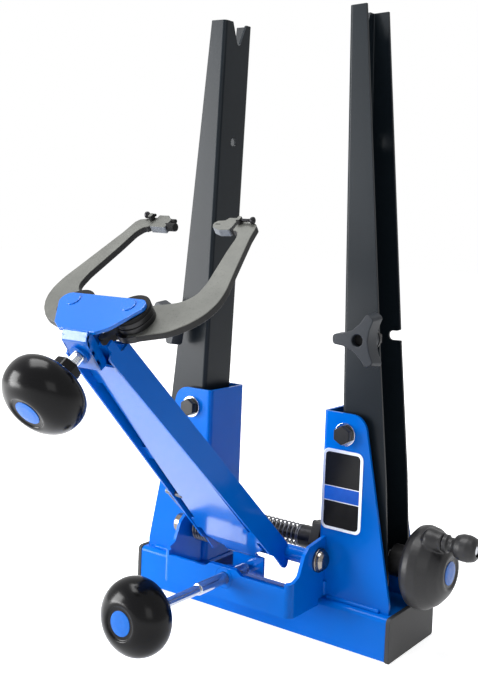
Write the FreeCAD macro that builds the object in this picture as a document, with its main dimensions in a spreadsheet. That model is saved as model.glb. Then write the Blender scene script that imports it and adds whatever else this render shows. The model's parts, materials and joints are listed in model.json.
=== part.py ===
import FreeCAD, Part
import math
import os
import re
import Sketcher
from FreeCAD import Placement, Rotation, Vector

# Bicycle wheel truing stand.
# Frame: origin on the floor at the middle of the base, +X to the stand's right (the crank's side),
# +Y to the back, +Z up, millimetres.  The front knob and the caliper arm point towards -Y.

doc = FreeCAD.newDocument("TruingStand")
sheet = doc.addObject("Spreadsheet::Sheet", "Sizes")

SIZES = {
    # fits
    "running_gap": 0.08,
    "face_gap": 0.15,
    "free_gap": 0.4,
    "weld_gap": 0.03,
    # base channel and its caps
    "base_half": 118.5,
    "base_depth_half": 36.3,
    "base_top": 33,
    "base_wall": 3,
    "base_bend": 4,
    "base_lift": 1,
    "cutout_half": 53,
    "cutout_front": 26,
    "cap_face": 3.5,
    "cap_plug": 10,
    "cap_lip": 0.5,
    # towers
    "tower_inner": 54.3,
    "tower_wall": 2.5,
    "tower_bend": 4,
    "tower_front": -29,
    "tower_back": 17.8,
    "tower_crown": 15.7,
    "tower_foot_reach": 116.6,
    "tower_foot_height": 40,
    "tower_top_reach": 89.9,
    "tower_corner": 13,
    # label plate
    "label_inner": 56,
    "label_outer": 90.5,
    "label_drop": 12.4,
    "label_height": 60,
    "label_corner": 5,
    "label_thick": 0.6,
    # upright pivots
    "pivot_reach": 74.2,
    "pivot_height": 160.4,
    "pivot_bolt_radius": 3.97,
    "bolt_flats": 12.7,
    "bolt_head": 5.5,
    "bolt_nut": 6.7,
    "washer_radius": 8.75,
    "washer_thick": 1.6,
    "bolt_tail": 1.5,
    "spacer_radius": 8,
    # uprights
    "upright_lean": 1.66,
    "upright_web": 7.44,
    "upright_wall": 2.2,
    "upright_bend": 3.2,
    "upright_front": -22.4,
    "upright_back": 14,
    "upright_top": 319.5,
    "upright_top_reach": 7.2,
    "upright_mid": 64,
    "upright_mid_reach": 23.4,
    "upright_knee_reach": 30.6,
    "upright_knee_drop": 33,
    "upright_foot_reach": 34,
    "upright_foot_height": 50.4,
    "axle_notch_depth": 19.5,
    "axle_notch_centre": -3,
    "axle_notch_half": 9.2,
    "axle_notch_round": 2.6,
    "web_hole_height": 221.8,
    "web_hole_centre": -2.6,
    "web_hole_radius": 3.5,
    # side notches with the thumb knobs
    "stud_reach": 16.4,
    "stud_height": 72.6,
    "side_notch_radius": 3.6,
    "side_notch_rise": 9,
    "stud_radius": 3.4,
    "stud_nut_flats": 11,
    "stud_nut_thick": 4.5,
    "thumb_washer_radius": 8.5,
    "thumb_washer_thick": 2.2,
    "thumb_hub_radius": 8,
    "thumb_hub_length": 6,
    "thumb_thick": 13,
    "thumb_bore": 4.4,
    "thumb_lobe_reach": 16.5,
    "thumb_lobe_radius": 5.8,
    "thumb_waist": 7.5,
    # threaded crank rod and what rides on it
    "rod_y": -4.2,
    "rod_height": 66.6,
    "rod_radius": 5.5,
    "rod_left_end": 94,
    "sleeve_radius": 9,
    "sleeve_inner_end": 26,
    "sleeve_chamfer": 1.6,
    "web_play": 0.9,
    "rod_slot_radius": 7.5,
    "barrel_length": 12,
    "collar_inner": 37,
    "collar_width": 8,
    "collar_radius": 12,
    "collar_lug": 15,
    "collar_hole": 2,
    "spring_wire": 0.8,
    "spring_turns": 13,
    "lock_nut_reach": 100,
    "lock_nut_width": 5,
    "lock_nut_flats": 15,
    # crank
    "hub_reach": 107.5,
    "hub_radius": 12,
    "wheel_reach": 120,
    "wheel_radius": 30.5,
    "wheel_depth": 33,
    "medal_radius": 11,
    "medal_depth": 1.2,
    "medal_thick": 0.8,
    "handle_y": -15,
    "handle_height": 91.6,
    "handle_boss_radius": 7.2,
    "handle_boss_height": 31,
    "handle_pin_radius": 3.4,
    "grip_collar_radius": 6.6,
    "grip_ball_radius": 9.6,
    "grip_length": 16.9,
    "grip_neck_radius": 5.2,
    "grip_recess_radius": 4.6,
    "grip_recess_depth": 2.5,
    # front bracket
    "bracket_half": 61,
    "bracket_front": -75.2,
    "bracket_wall": 3,
    "bracket_bend": 6,
    "bracket_bottom": 28.5,
    "bracket_plate_top": 50,
    "bracket_hump_top": 54.5,
    "ear_front_top": 53.6,
    "ear_top": 80.1,
    "screw_height": 45,
    "screw_bush_radius": 8,
    "screw_bush_length": 9,
    # arm pivot
    "arm_pivot_y": -38.4,
    "arm_pivot_height": 63.9,
    "arm_tube_radius": 6,
    "arm_bolt_radius": 4,
    "arm_bolt_head_radius": 7.6,
    "arm_bolt_head": 4.2,
    "arm_bolt_reach": 24,
    # arm
    "arm_lean": 45.6,
    "arm_back": 3.8,
    "arm_front": 14.4,
    "arm_front_step": 9.9,
    "arm_wall": 2,
    "arm_foot_half": 34.6,
    "arm_end": 257,
    "arm_end_half": 19.2,
    "arm_web_end": 245.4,
    "arm_bend": 3.5,
    "inner_gap": 4.5,
    "inner_thick": 2,
    "inner_top": 233,
    "inner_top_drop": 0.8,
    "inner_knee": 25,
    "inner_knee_drop": 13.9,
    "inner_tab": 14,
    "middle_tab": 133,
    "lower_tab": 40,
    "tongue_half": 14.7,
    "tongue_face": 5.6,
    "tongue_bottom": 40,
    # torsion spring
    "torsion_wire": 1.1,
    "torsion_radius": 8.6,
    "torsion_turns": 5,
    "torsion_pitch": 2.7,
    # head plate (its own frame: x, v towards the jaw tips, h up from the plate's top)
    "head_tilt": 37,
    "head_along": 265.93,
    "head_drop": 16.87,
    "head_thick": 2.5,
    "rivet_reach": 24,
    "rivet_head": 5,
    "rivet_radius": 4,
    "head_corner": 6.8,
    "head_rear": 7,
    "head_side": 36.5,
    "head_fold": 27,
    "head_fold_half": 15.5,
    "head_tab_v": 32,
    "head_tab_drop": 28,
    "head_tab_half": 14,
    "return_half": 17.1,
    "head_spring_hole": 1.5,
    # jaws
    "jaw_spread": 48.6,
    "jaw_reach": 109.3,
    "jaw_top": 13,
    "jaw_thick": 5,
    "boss_radius": 15.5,
    "boss_top": 5,
    "jaw_washer_radius": 13.5,
    "tail_reach": 16,
    "tail_radius": 3.5,
    "cone_angle": 20,
    "cone_radius": 6.8,
    "cone_tip": 0.9,
    "cone_gap": 0.35,
    "jaw_pin_radius": 2.3,
    "jaw_screw_radius": 1.1,
    "jaw_screw_head": 2.4,
    # knobs and screws
    "screw_axis_drop": 15,
    "upper_screw_radius": 4,
    "upper_barrel_end": 34,
    "upper_hub_start": 44,
    "knob_radius": 27.5,
    "knob_hub_radius": 9.6,
    "knob_hub_flats": 18,
    "knob_hub_length": 8,
    "knob_length": 41.5,
    "lower_screw_radius": 4.5,
    "lower_neck_radius": 3.5,
    "lower_neck_start": 107,
    "lower_hub_start": 149,
    "nose_length": 6,
    "nose_gap": 0.5,
}

for number, (alias, size) in enumerate(SIZES.items(), start=1):
    sheet.set("A%d" % number, alias)
    sheet.set("B%d" % number, str(size))
    sheet.setAlias("B%d" % number, alias)
doc.recompute()

# Lengths that follow from the sizes above, as expressions.
DERIVED = {
    # the uprights' web at the height of the rod, seen in the stand's frame
    "rod_drop": "pivot_height - rod_height",
    "web_at_rod": "pivot_reach - upright_web / cos(upright_lean) + rod_drop * tan(upright_lean)",
    "web_outside": "web_at_rod + upright_wall / cos(upright_lean)",
    "sleeve_end": "web_at_rod - web_play",
    "barrel_start": "web_outside + web_play",
    # the arm's half width along its length
    "arm_taper": "(arm_foot_half - arm_end_half) / arm_end",
    # rest position of the tongue's face and the nose that pushes it
    "tongue_drop": "arm_pivot_height - tongue_bottom",
    "tongue_y": "arm_pivot_y - tongue_face",
    "nose_y": "tongue_y - nose_gap",
    # the cone's contact with the jaw tails
    "cone_flank": "tail_radius + cone_gap",
    "tail_x": "rivet_reach - tail_reach",
    "cone_apex": "(tail_x * cos(cone_angle) - cone_flank) / sin(cone_angle) - tail_reach",
    "cone_tip_v": "cone_apex - cone_tip / tan(cone_angle)",
    "cone_base_v": "cone_apex - cone_radius / tan(cone_angle)",
    "wheel_end": "wheel_reach + wheel_depth",
    "handle_boss_end": "wheel_reach + handle_boss_height",
    "grip_ball_reach": "handle_boss_end + grip_length",
    # what follows the uprights' pivot
    "tower_top": "pivot_height + tower_crown",
    "label_top": "pivot_height - label_drop",
    "label_bottom": "label_top - label_height",
    "upright_foot_drop": "pivot_height - upright_foot_height",
}


def bound(text):
    """Write an expression's aliases out as references to the sheet."""

    def reference(match):
        word = match.group(0)
        if word in DERIVED:
            return "(" + bound(DERIVED[word]) + ")"
        if word in SIZES:
            return "Sizes." + word
        return word

    return re.sub(r"[a-z][a-z_]*", reference, str(text))


def value(text):
    """The number that an expression has now."""
    return float(sheet.evalExpression(bound(text)))


PLANES = {"XY": "XY_Plane", "XZ": "XZ_Plane", "YZ": "YZ_Plane"}
cuts = []
nodes = []


def new_body(label, node=True):
    body = doc.addObject("PartDesign::Body", label)
    body.Label = label
    if node:
        nodes.append(body)
    return body


def round_corner(before, corner, after, radius):
    """Tangent points, centre and turning sense of an arc that rounds a corner."""
    first = (before - corner).normalize()
    second = (after - corner).normalize()
    half = first.getAngle(second) / 2
    reach = radius / math.tan(half)
    middle = (first + second).normalize()
    centre = corner + middle * (radius / math.sin(half))
    left_turn = first.cross(second).z < 0
    return corner + first * reach, corner + second * reach, centre, left_turn


def draw_polygon(sketch, corners):
    """Closed outline of (x, y) or (x, y, radius) corners, each bound to the sheet."""
    count = len(corners)
    points = [Vector(value(corner[0]), value(corner[1]), 0) for corner in corners]
    rounds = [corner[2] if len(corner) > 2 else None for corner in corners]
    arrive = list(points)
    leave = list(points)
    arcs = {}
    for index in range(count):
        if rounds[index] is None:
            continue
        radius = value(rounds[index])
        before = points[index - 1]
        after = points[(index + 1) % count]
        start, end, centre, left_turn = round_corner(Vector(before), Vector(points[index]), Vector(after), radius)
        arrive[index] = start
        leave[index] = end
        arcs[index] = (centre, radius, left_turn)
    lines = []
    for index in range(count):
        line = Part.LineSegment(leave[index], arrive[(index + 1) % count])
        lines.append(sketch.addGeometry(line, False))
    constraints = []
    expressions = []

    def pin(geometry, position, corner):
        constraints.append(Sketcher.Constraint("DistanceX", -1, 1, geometry, position, value(corner[0])))
        expressions.append((len(constraints) - 1, corner[0]))
        constraints.append(Sketcher.Constraint("DistanceY", -1, 1, geometry, position, value(corner[1])))
        expressions.append((len(constraints) - 1, corner[1]))

    for index in range(count):
        before = lines[index - 1]
        after = lines[index]
        if index not in arcs:
            constraints.append(Sketcher.Constraint("Coincident", before, 2, after, 1))
            pin(after, 1, corners[index])
            continue
        centre, radius, left_turn = arcs[index]
        circle = Part.Circle(centre, Vector(0, 0, 1), radius)
        start = arrive[index] if left_turn else leave[index]
        end = leave[index] if left_turn else arrive[index]
        first = math.atan2(start.y - centre.y, start.x - centre.x)
        last = math.atan2(end.y - centre.y, end.x - centre.x)
        arc = sketch.addGeometry(Part.ArcOfCircle(circle, first, last), False)
        corner = sketch.addGeometry(Part.Point(points[index]), True)
        pin(corner, 1, corners[index])
        constraints.append(Sketcher.Constraint("PointOnObject", corner, 1, before))
        constraints.append(Sketcher.Constraint("PointOnObject", corner, 1, after))
        constraints.append(Sketcher.Constraint("Tangent", before, 2, arc, 1 if left_turn else 2))
        constraints.append(Sketcher.Constraint("Tangent", after, 1, arc, 2 if left_turn else 1))
        constraints.append(Sketcher.Constraint("Radius", arc, radius))
        expressions.append((len(constraints) - 1, rounds[index]))
    offset = sketch.ConstraintCount
    sketch.addConstraint(constraints)
    for number, text in expressions:
        sketch.setExpression("Constraints[%d]" % (offset + number), bound(text))


def draw_circle(sketch, x, y, radius):
    centre = Vector(value(x), value(y), 0)
    circle = sketch.addGeometry(Part.Circle(centre, Vector(0, 0, 1), value(radius)), False)
    offset = sketch.ConstraintCount
    sketch.addConstraint(
        [
            Sketcher.Constraint("DistanceX", -1, 1, circle, 3, centre.x),
            Sketcher.Constraint("DistanceY", -1, 1, circle, 3, centre.y),
            Sketcher.Constraint("Radius", circle, value(radius)),
        ]
    )
    for number, text in enumerate((x, y, radius)):
        sketch.setExpression("Constraints[%d]" % (offset + number), bound(text))


def draw(body, name, plane, loops, offset):
    """A sketch on one of the body's own origin planes."""
    sketch = body.newObject("Sketcher::SketchObject", name)
    support = [item for item in body.Origin.OriginFeatures if item.Role == PLANES[plane]][0]
    sketch.AttachmentSupport = (support, [""])
    sketch.MapMode = "FlatFace"
    sketch.setExpression("AttachmentOffset.Base.z", bound(offset))
    for loop in loops:
        if isinstance(loop, tuple):
            draw_circle(sketch, *loop)
        else:
            draw_polygon(sketch, loop)
    return sketch


def level(plane, start, length):
    """Sketch offset for material from start to start + length; the XZ plane's normal is -Y."""
    if plane == "XZ":
        return "-(%s) - (%s)" % (start, length)
    return start


def pad(body, name, plane, loops, start, length):
    sketch = draw(body, name + "_sketch", plane, loops, level(plane, start, length))
    feature = body.newObject("PartDesign::Pad", name)
    feature.Profile = sketch
    feature.setExpression("Length", bound(length))
    body.Tip = feature
    return feature


def pocket(body, name, plane, loops, start, length):
    sketch = draw(body, name + "_sketch", plane, loops, level(plane, start, length))
    feature = body.newObject("PartDesign::Pocket", name)
    feature.Profile = sketch
    feature.Reversed = True
    feature.setExpression("Length", bound(length))
    body.Tip = feature
    cuts.append(feature)
    return feature


def turn(body, name, profile):
    """Revolve a (radius, height) outline about the body's own Z axis."""
    sketch = draw(body, name + "_sketch", "XZ", [profile], "0")
    feature = body.newObject("PartDesign::Revolution", name)
    feature.Profile = sketch
    feature.ReferenceAxis = (sketch, ["V_Axis"])
    feature.Angle = 360
    body.Tip = feature
    return feature


def place(item, x=0, y=0, z=0, axis=None, angle=None):
    rotation = Rotation()
    if axis is not None:
        rotation = Rotation(Vector(*axis), value(angle))
    item.Placement = Placement(Vector(value(x), value(y), value(z)), rotation)
    for letter, text in (("x", x), ("y", y), ("z", z)):
        item.setExpression("Placement.Base." + letter, bound(text))
    if axis is not None:
        item.setExpression("Placement.Rotation.Angle", bound(angle))


FRONT = {"axis": (1, 0, 0), "angle": 90}
BACK = {"axis": (-1, 0, 0), "angle": 90}
RIGHT = {"axis": (0, 1, 0), "angle": 90}
LEFT = {"axis": (0, -1, 0), "angle": 90}


def towards(side):
    """Placement values that turn a piece's own Z to the outside of that side."""
    return RIGHT if side > 0 else LEFT


def group(label, members):
    """One node of several separate solids."""
    compound = doc.addObject("Part::Compound", label)
    compound.Label = label
    compound.Links = members
    nodes.append(compound)


def regular(sides, flats):
    """Corners of a regular polygon by its distance across flats."""
    corners = []
    for index in range(sides):
        angle = 360.0 / sides * (index + 0.5)
        share = 0.5 / math.cos(math.pi / sides)
        across = "(%s) * %.9f" % (flats, share * math.cos(math.radians(angle)))
        up = "(%s) * %.9f" % (flats, share * math.sin(math.radians(angle)))
        corners.append((across, up))
    return corners


def mirrored(side, corners):
    """Outline with its first coordinate turned to the left side for side = -1."""
    if side > 0:
        return list(corners)
    return [("-(%s)" % corner[0],) + tuple(corner[1:]) for corner in corners]


def channel_outline(side, web, wall, reach, front, back, bend):
    """Plan of a channel: web towards the middle, flanges out to reach, rounded bends."""
    inner_bend = "max(%s - %s; 0.4)" % (bend, wall)
    return mirrored(
        side,
        [
            (reach, front),
            (web, front, bend),
            (web, back, bend),
            (reach, back),
            (reach, "%s - %s" % (back, wall)),
            ("%s + %s" % (web, wall), "%s - %s" % (back, wall), inner_bend),
            ("%s + %s" % (web, wall), "%s + %s" % (front, wall), inner_bend),
            (reach, "%s + %s" % (front, wall)),
        ],
    )


# ---------------------------------------------------------------- base channel and end caps

base = new_body("base_channel")
base_profile = [
    ("-base_depth_half", "base_lift"),
    ("-base_depth_half", "base_top", "base_bend"),
    ("base_depth_half", "base_top", "base_bend"),
    ("base_depth_half", "base_lift"),
    ("base_depth_half - base_wall", "base_lift"),
    ("base_depth_half - base_wall", "base_top - base_wall", "base_bend / 4"),
    ("-base_depth_half + base_wall", "base_top - base_wall", "base_bend / 4"),
    ("-base_depth_half + base_wall", "base_lift"),
]
pad(base, "base_fold", "YZ", [base_profile], "-base_half", "2 * base_half")
cutout = [
    ("-cutout_front", "-base_wall"),
    ("base_depth_half + base_wall", "-base_wall"),
    ("base_depth_half + base_wall", "base_top + base_wall"),
    ("-cutout_front", "base_top + base_wall"),
]
pocket(base, "base_cutout", "YZ", [cutout], "-cutout_half", "2 * cutout_half")

for side, word in ((1, "right"), (-1, "left")):
    cap = new_body("end_cap_" + word)
    face = [
        ("-base_depth_half - cap_lip", 0, "base_bend / 2"),
        ("-base_depth_half - cap_lip", "base_top + cap_lip", "base_bend"),
        ("base_depth_half + cap_lip", "base_top + cap_lip", "base_bend"),
        ("base_depth_half + cap_lip", 0, "base_bend / 2"),
    ]
    plug_side = "base_depth_half - base_wall - weld_gap"
    plug = [
        ("-(%s)" % plug_side, 0),
        ("-(%s)" % plug_side, "base_top - base_wall - weld_gap", "base_bend / 3"),
        (plug_side, "base_top - base_wall - weld_gap", "base_bend / 3"),
        (plug_side, 0),
    ]
    if side > 0:
        pad(cap, "cap_face_" + word, "YZ", [face], "base_half", "cap_face")
        pad(cap, "cap_plug_" + word, "YZ", [plug], "base_half - cap_plug", "cap_plug")
    else:
        pad(cap, "cap_face_" + word, "YZ", [face], "-base_half - cap_face", "cap_face")
        pad(cap, "cap_plug_" + word, "YZ", [plug], "-base_half", "cap_plug")

# ---------------------------------------------------------------- towers and label plate

for side, word in ((1, "right"), (-1, "left")):
    tower = new_body(word + "_tower")
    plan = channel_outline(
        side, "tower_inner", "tower_wall", "tower_foot_reach", "tower_front", "tower_back", "tower_bend"
    )
    pad(tower, "tower_fold_" + word, "XY", [plan], "base_top", "tower_top - base_top")
    beyond = mirrored(
        side,
        [
            ("tower_foot_reach + 10", "tower_foot_height"),
            ("tower_foot_reach", "tower_foot_height"),
            ("tower_top_reach", "tower_top", "tower_corner"),
            ("pivot_reach", "tower_top"),
            ("pivot_reach", "tower_top + 10"),
            ("tower_foot_reach + 10", "tower_top + 10"),
        ],
    )
    depth = "tower_back - tower_front + 2 * tower_wall"
    pocket(tower, "tower_slope_" + word, "XZ", [beyond], "tower_front - tower_wall", depth)
    bolt_hole = ("%d * pivot_reach" % side, "pivot_height", "pivot_bolt_radius + running_gap")
    pocket(tower, "tower_bolt_hole_" + word, "XZ", [bolt_hole], "tower_front - tower_wall", depth)
    sleeve_hole = ("rod_y", "rod_height", "sleeve_radius + free_gap")
    wall_start = "tower_inner - 1" if side > 0 else "-tower_inner - tower_wall - 1"
    pocket(tower, "tower_sleeve_hole_" + word, "YZ", [sleeve_hole], wall_start, "tower_wall + 2")

label = new_body("label_plate")
label_outline = [
    ("label_inner", "label_bottom", "label_corner"),
    ("label_outer", "label_bottom", "label_corner"),
    ("label_outer", "label_top", "label_corner"),
    ("label_inner", "label_top", "label_corner"),
]
pad(label, "label_sheet", "XZ", [label_outline], "tower_front - label_thick", "label_thick")

# ---------------------------------------------------------------- upright pivot bolts

bolts = []
washers = []
nuts = []
spacers = []
for side, word in ((1, "right"), (-1, "left")):
    reach = "%d * pivot_reach" % side
    bolt = new_body("pivot_bolt_" + word, node=False)
    pad(bolt, "pivot_head_" + word, "XY", [regular(6, "bolt_flats")], "0", "bolt_head")
    back_seat = "tower_back + washer_thick + bolt_nut + bolt_tail"
    shank_length = "%s - tower_front + washer_thick" % back_seat
    shank = (0, 0, "pivot_bolt_radius")
    pad(bolt, "pivot_shank_" + word, "XY", [shank], "-(%s)" % shank_length, shank_length)
    place(bolt, reach, "tower_front - washer_thick", "pivot_height", **FRONT)
    bolts.append(bolt)
    ring = [(0, 0, "washer_radius"), (0, 0, "pivot_bolt_radius + running_gap")]
    for seat, name in (("tower_front", "front"), ("tower_back + washer_thick", "back")):
        washer = new_body("pivot_washer_%s_%s" % (word, name), node=False)
        pad(washer, "washer_ring_%s_%s" % (word, name), "XY", [ring[0], ring[1]], "0", "washer_thick")
        place(washer, reach, seat, "pivot_height", **FRONT)
        washers.append(washer)
    nut = new_body("pivot_nut_" + word, node=False)
    nut_loops = [regular(6, "bolt_flats"), (0, 0, "pivot_bolt_radius + weld_gap")]
    pad(nut, "pivot_nut_hex_" + word, "XY", nut_loops, "0", "bolt_nut")
    place(nut, reach, "tower_back + washer_thick", "pivot_height", **BACK)
    nuts.append(nut)
    ring = [(0, 0, "spacer_radius"), (0, 0, "pivot_bolt_radius + running_gap")]
    front_length = "upright_front - tower_front - tower_wall - 2 * face_gap"
    back_length = "tower_back - tower_wall - upright_back - 2 * face_gap"
    for seat, length, name in (
        ("upright_front - face_gap", front_length, "front"),
        ("tower_back - tower_wall - face_gap", back_length, "back"),
    ):
        spacer = new_body("spacer_%s_%s" % (word, name), node=False)
        pad(spacer, "spacer_ring_%s_%s" % (word, name), "XY", [ring[0], ring[1]], "0", length)
        place(spacer, reach, seat, "pivot_height", **FRONT)
        spacers.append(spacer)
group("upright_pivot_bolts", bolts)
group("upright_pivot_washers", washers)
group("upright_pivot_nuts", nuts)
group("upright_spacers", spacers)

# ---------------------------------------------------------------- uprights
# Own frame: origin on the pivot, Z along the upright; the upright leans inwards about Y.

for side, word in ((1, "right"), (-1, "left")):
    lean = {"axis": (0, -side, 0), "angle": "upright_lean"}
    upright = new_body(word + "_upright")
    plan = channel_outline(
        side,
        "-upright_web",
        "upright_wall",
        "upright_foot_reach",
        "upright_front",
        "upright_back",
        "upright_bend",
    )
    pad(upright, "upright_fold_" + word, "XY", [plan], "-upright_foot_drop", "upright_top + upright_foot_drop")
    beyond = mirrored(
        side,
        [
            ("upright_foot_reach + 12", "-upright_foot_drop - 8"),
            ("upright_foot_reach", "-upright_foot_drop - 8"),
            ("upright_foot_reach", "-upright_foot_drop"),
            ("upright_knee_reach", "-upright_knee_drop", 150),
            ("upright_mid_reach", "upright_mid", 200),
            ("upright_top_reach", "upright_top"),
            ("upright_top_reach", "upright_top + 8"),
            ("upright_foot_reach + 12", "upright_top + 8"),
        ],
    )
    depth = "upright_back - upright_front + 2 * upright_wall"
    flange_start = "upright_front - upright_wall"
    pocket(upright, "upright_slope_" + word, "XZ", [beyond], flange_start, depth)
    pivot_hole = (0, 0, "pivot_bolt_radius + running_gap")
    pocket(upright, "upright_pivot_hole_" + word, "XZ", [pivot_hole], flange_start, depth)
    notch = mirrored(
        side,
        [
            ("stud_reach - side_notch_radius", "stud_height - side_notch_radius", "side_notch_radius * 0.95"),
            ("upright_foot_reach", "stud_height - side_notch_radius"),
            ("upright_foot_reach", "stud_height + side_notch_rise"),
            ("stud_reach + side_notch_radius", "stud_height + side_notch_radius", "side_notch_radius"),
            ("stud_reach - side_notch_radius", "stud_height + side_notch_radius", "side_notch_radius * 0.95"),
        ],
    )
    pocket(upright, "upright_side_notch_" + word, "XZ", [notch], flange_start, depth)
    web_start = "-upright_web - 1" if side > 0 else "upright_web - upright_wall - 1"
    valley = [
        ("axle_notch_centre - axle_notch_half", "upright_top"),
        ("axle_notch_centre", "upright_top - axle_notch_depth - axle_notch_round", "axle_notch_round"),
        ("axle_notch_centre + axle_notch_half", "upright_top"),
        ("axle_notch_centre + axle_notch_half", "upright_top + 5"),
        ("axle_notch_centre - axle_notch_half", "upright_top + 5"),
    ]
    pocket(upright, "upright_axle_notch_" + word, "YZ", [valley], web_start, "upright_wall + 2")
    holes = [
        ("web_hole_centre", "web_hole_height", "web_hole_radius"),
        ("rod_y", "-rod_drop - 0.2", "rod_slot_radius"),
    ]
    pocket(upright, "upright_web_holes_" + word, "YZ", holes, web_start, "upright_wall + 2")
    place(upright, "%d * pivot_reach" % side, 0, "pivot_height", **lean)

    # thumb knob on its stud in the front flange's notch
    stud_x = "%d * (pivot_reach + stud_reach * cos(upright_lean) - stud_height * sin(upright_lean))" % side
    stud_z = "pivot_height + stud_reach * sin(upright_lean) + stud_height * cos(upright_lean)"
    washer_seat = "upright_front"
    hub_seat = "upright_front - thumb_washer_thick - face_gap"
    stud = new_body("thumb_stud_" + word)
    inside = "upright_wall + stud_nut_thick"
    outside = "thumb_washer_thick + face_gap + thumb_hub_length + thumb_thick * 0.6"
    pad(stud, "stud_shank_" + word, "XY", [(0, 0, "stud_radius")], "-(%s)" % inside, "%s + %s" % (inside, outside))
    pad(stud, "stud_nut_" + word, "XY", [regular(6, "stud_nut_flats")], "-(%s)" % inside, "stud_nut_thick")
    pad(stud, "stud_washer_" + word, "XY", [(0, 0, "thumb_washer_radius")], "0", "thumb_washer_thick")
    place(stud, stud_x, washer_seat, stud_z, **FRONT)

    knob = new_body("thumb_knob_" + word)
    start_angle = 180 if side > 0 else 0
    for index in range(3):
        turn_angle = math.radians(start_angle + 120 * index)
        cosine = math.cos(turn_angle)
        sine = math.sin(turn_angle)
        lobe = [
            ("%.9f * thumb_lobe_reach" % cosine, "%.9f * thumb_lobe_reach" % sine, "thumb_lobe_radius"),
        ]
        pad(knob, "lobe_%s_%d" % (word, index), "XY", [lobe[0]], "thumb_hub_length", "thumb_thick")
        neck = []
        for along, across in ((0, -1), (1, -1), (1, 1), (0, 1)):
            half = "thumb_waist" if along == 0 else "thumb_lobe_radius * 0.98"
            neck.append(
                (
                    "%.9f * thumb_lobe_reach - (%.9f) * %s" % (along * cosine, across * sine, half),
                    "%.9f * thumb_lobe_reach + (%.9f) * %s" % (along * sine, across * cosine, half),
                )
            )
        pad(knob, "neck_%s_%d" % (word, index), "XY", [neck], "thumb_hub_length", "thumb_thick")
    pad(knob, "knob_hub_" + word, "XY", [(0, 0, "thumb_hub_radius")], "0", "thumb_hub_length + thumb_thick / 2")
    pocket(knob, "knob_bore_" + word, "XY", [(0, 0, "stud_radius + running_gap")], "0", "thumb_hub_length")
    pocket(knob, "knob_well_" + word, "XY", [(0, 0, "thumb_bore")], "thumb_hub_length", "thumb_thick")
    place(knob, stud_x, hub_seat, stud_z, **FRONT)

# ---------------------------------------------------------------- crank rod, sleeves and main spring

rod = new_body("threaded_rod")
pad(rod, "rod_shaft", "XY", [(0, 0, "rod_radius")], "-rod_left_end", "rod_left_end + wheel_reach + 6")
place(rod, 0, "rod_y", "rod_height", **RIGHT)

for side, word in ((1, "right"), (-1, "left")):
    bore = (0, 0, "rod_radius + running_gap")
    sleeve = new_body(word + "_sleeve")
    shell = [
        ("rod_radius + running_gap", "sleeve_inner_end"),
        ("sleeve_radius", "sleeve_inner_end"),
        ("sleeve_radius", "sleeve_end - sleeve_chamfer"),
        ("sleeve_radius - 1.4 * sleeve_chamfer", "sleeve_end"),
        ("rod_radius + running_gap", "sleeve_end"),
    ]
    turn(sleeve, "sleeve_shell_" + word, shell)
    place(sleeve, 0, "rod_y", "rod_height", **towards(side))
    barrel = new_body(word + "_barrel_nut")
    barrel_profile = [
        ("rod_radius + running_gap", "barrel_start"),
        ("sleeve_radius - 1.4 * sleeve_chamfer", "barrel_start"),
        ("sleeve_radius", "barrel_start + sleeve_chamfer"),
        ("sleeve_radius", "barrel_start + barrel_length - 1"),
        ("sleeve_radius - 1", "barrel_start + barrel_length"),
        ("rod_radius + running_gap", "barrel_start + barrel_length"),
    ]
    turn(barrel, "barrel_shell_" + word, barrel_profile)
    place(barrel, 0, "rod_y", "rod_height", **towards(side))
    collar = new_body(word + "_set_collar")
    collar_outline = [
        ("-collar_radius", "-collar_radius", "collar_radius * 0.98"),
        ("collar_radius", "-collar_radius", "collar_radius * 0.98"),
        ("collar_radius", 0),
        ("collar_lug / 3", "collar_lug", 3),
        ("-collar_lug / 3", "collar_lug", 3),
        ("-collar_radius", 0),
    ]
    collar_loops = [collar_outline, (0, 0, "sleeve_radius + weld_gap")]
    collar_start = "collar_inner" if side > 0 else "-collar_inner - collar_width"
    pad(collar, "collar_ring_" + word, "YZ", collar_loops, collar_start, "collar_width")
    lug_hole = (0, "(collar_lug + sleeve_radius) / 2", "collar_hole")
    pocket(collar, "collar_lug_hole_" + word, "YZ", [lug_hole], collar_start, "collar_width")
    place(collar, 0, "rod_y", "rod_height")


def coil(label, mean_radius, wire_radius, pitch, height):
    """A round-wire helix along Z, from z = 0; its sizes are bound to the sheet."""
    path = doc.addObject("Part::Helix", label + "_path")
    path.setExpression("Radius", bound(mean_radius))
    path.setExpression("Pitch", bound(pitch))
    path.setExpression("Height", bound(height))
    section = doc.addObject("Part::Circle", label + "_wire")
    section.setExpression("Radius", bound(wire_radius))
    section.Placement = Placement(Vector(value(mean_radius), 0, 0), Rotation(Vector(1, 0, 0), 90))
    section.setExpression("Placement.Base.x", bound(mean_radius))
    sweep = doc.addObject("Part::Sweep", label)
    sweep.Label = label
    sweep.Sections = [section]
    sweep.Spine = (path, ["Edge1"])
    sweep.Solid = True
    sweep.Frenet = True
    return sweep


spring_span = "2 * sleeve_inner_end - 2 * spring_wire - 2 * face_gap"
main_spring = coil(
    "main_spring", "sleeve_radius - spring_wire", "spring_wire", "(%s) / spring_turns" % spring_span, spring_span
)
place(main_spring, "-(%s) / 2" % spring_span, "rod_y", "rod_height", **RIGHT)
nodes.append(main_spring)

lock_nut = new_body("crank_lock_nut")
lock_loops = [regular(6, "lock_nut_flats"), (0, 0, "rod_radius + weld_gap")]
pad(lock_nut, "lock_nut_hex", "XY", lock_loops, "lock_nut_reach", "lock_nut_width")
place(lock_nut, 0, "rod_y", "rod_height", **RIGHT)

# ---------------------------------------------------------------- crank wheel and handle

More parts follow.
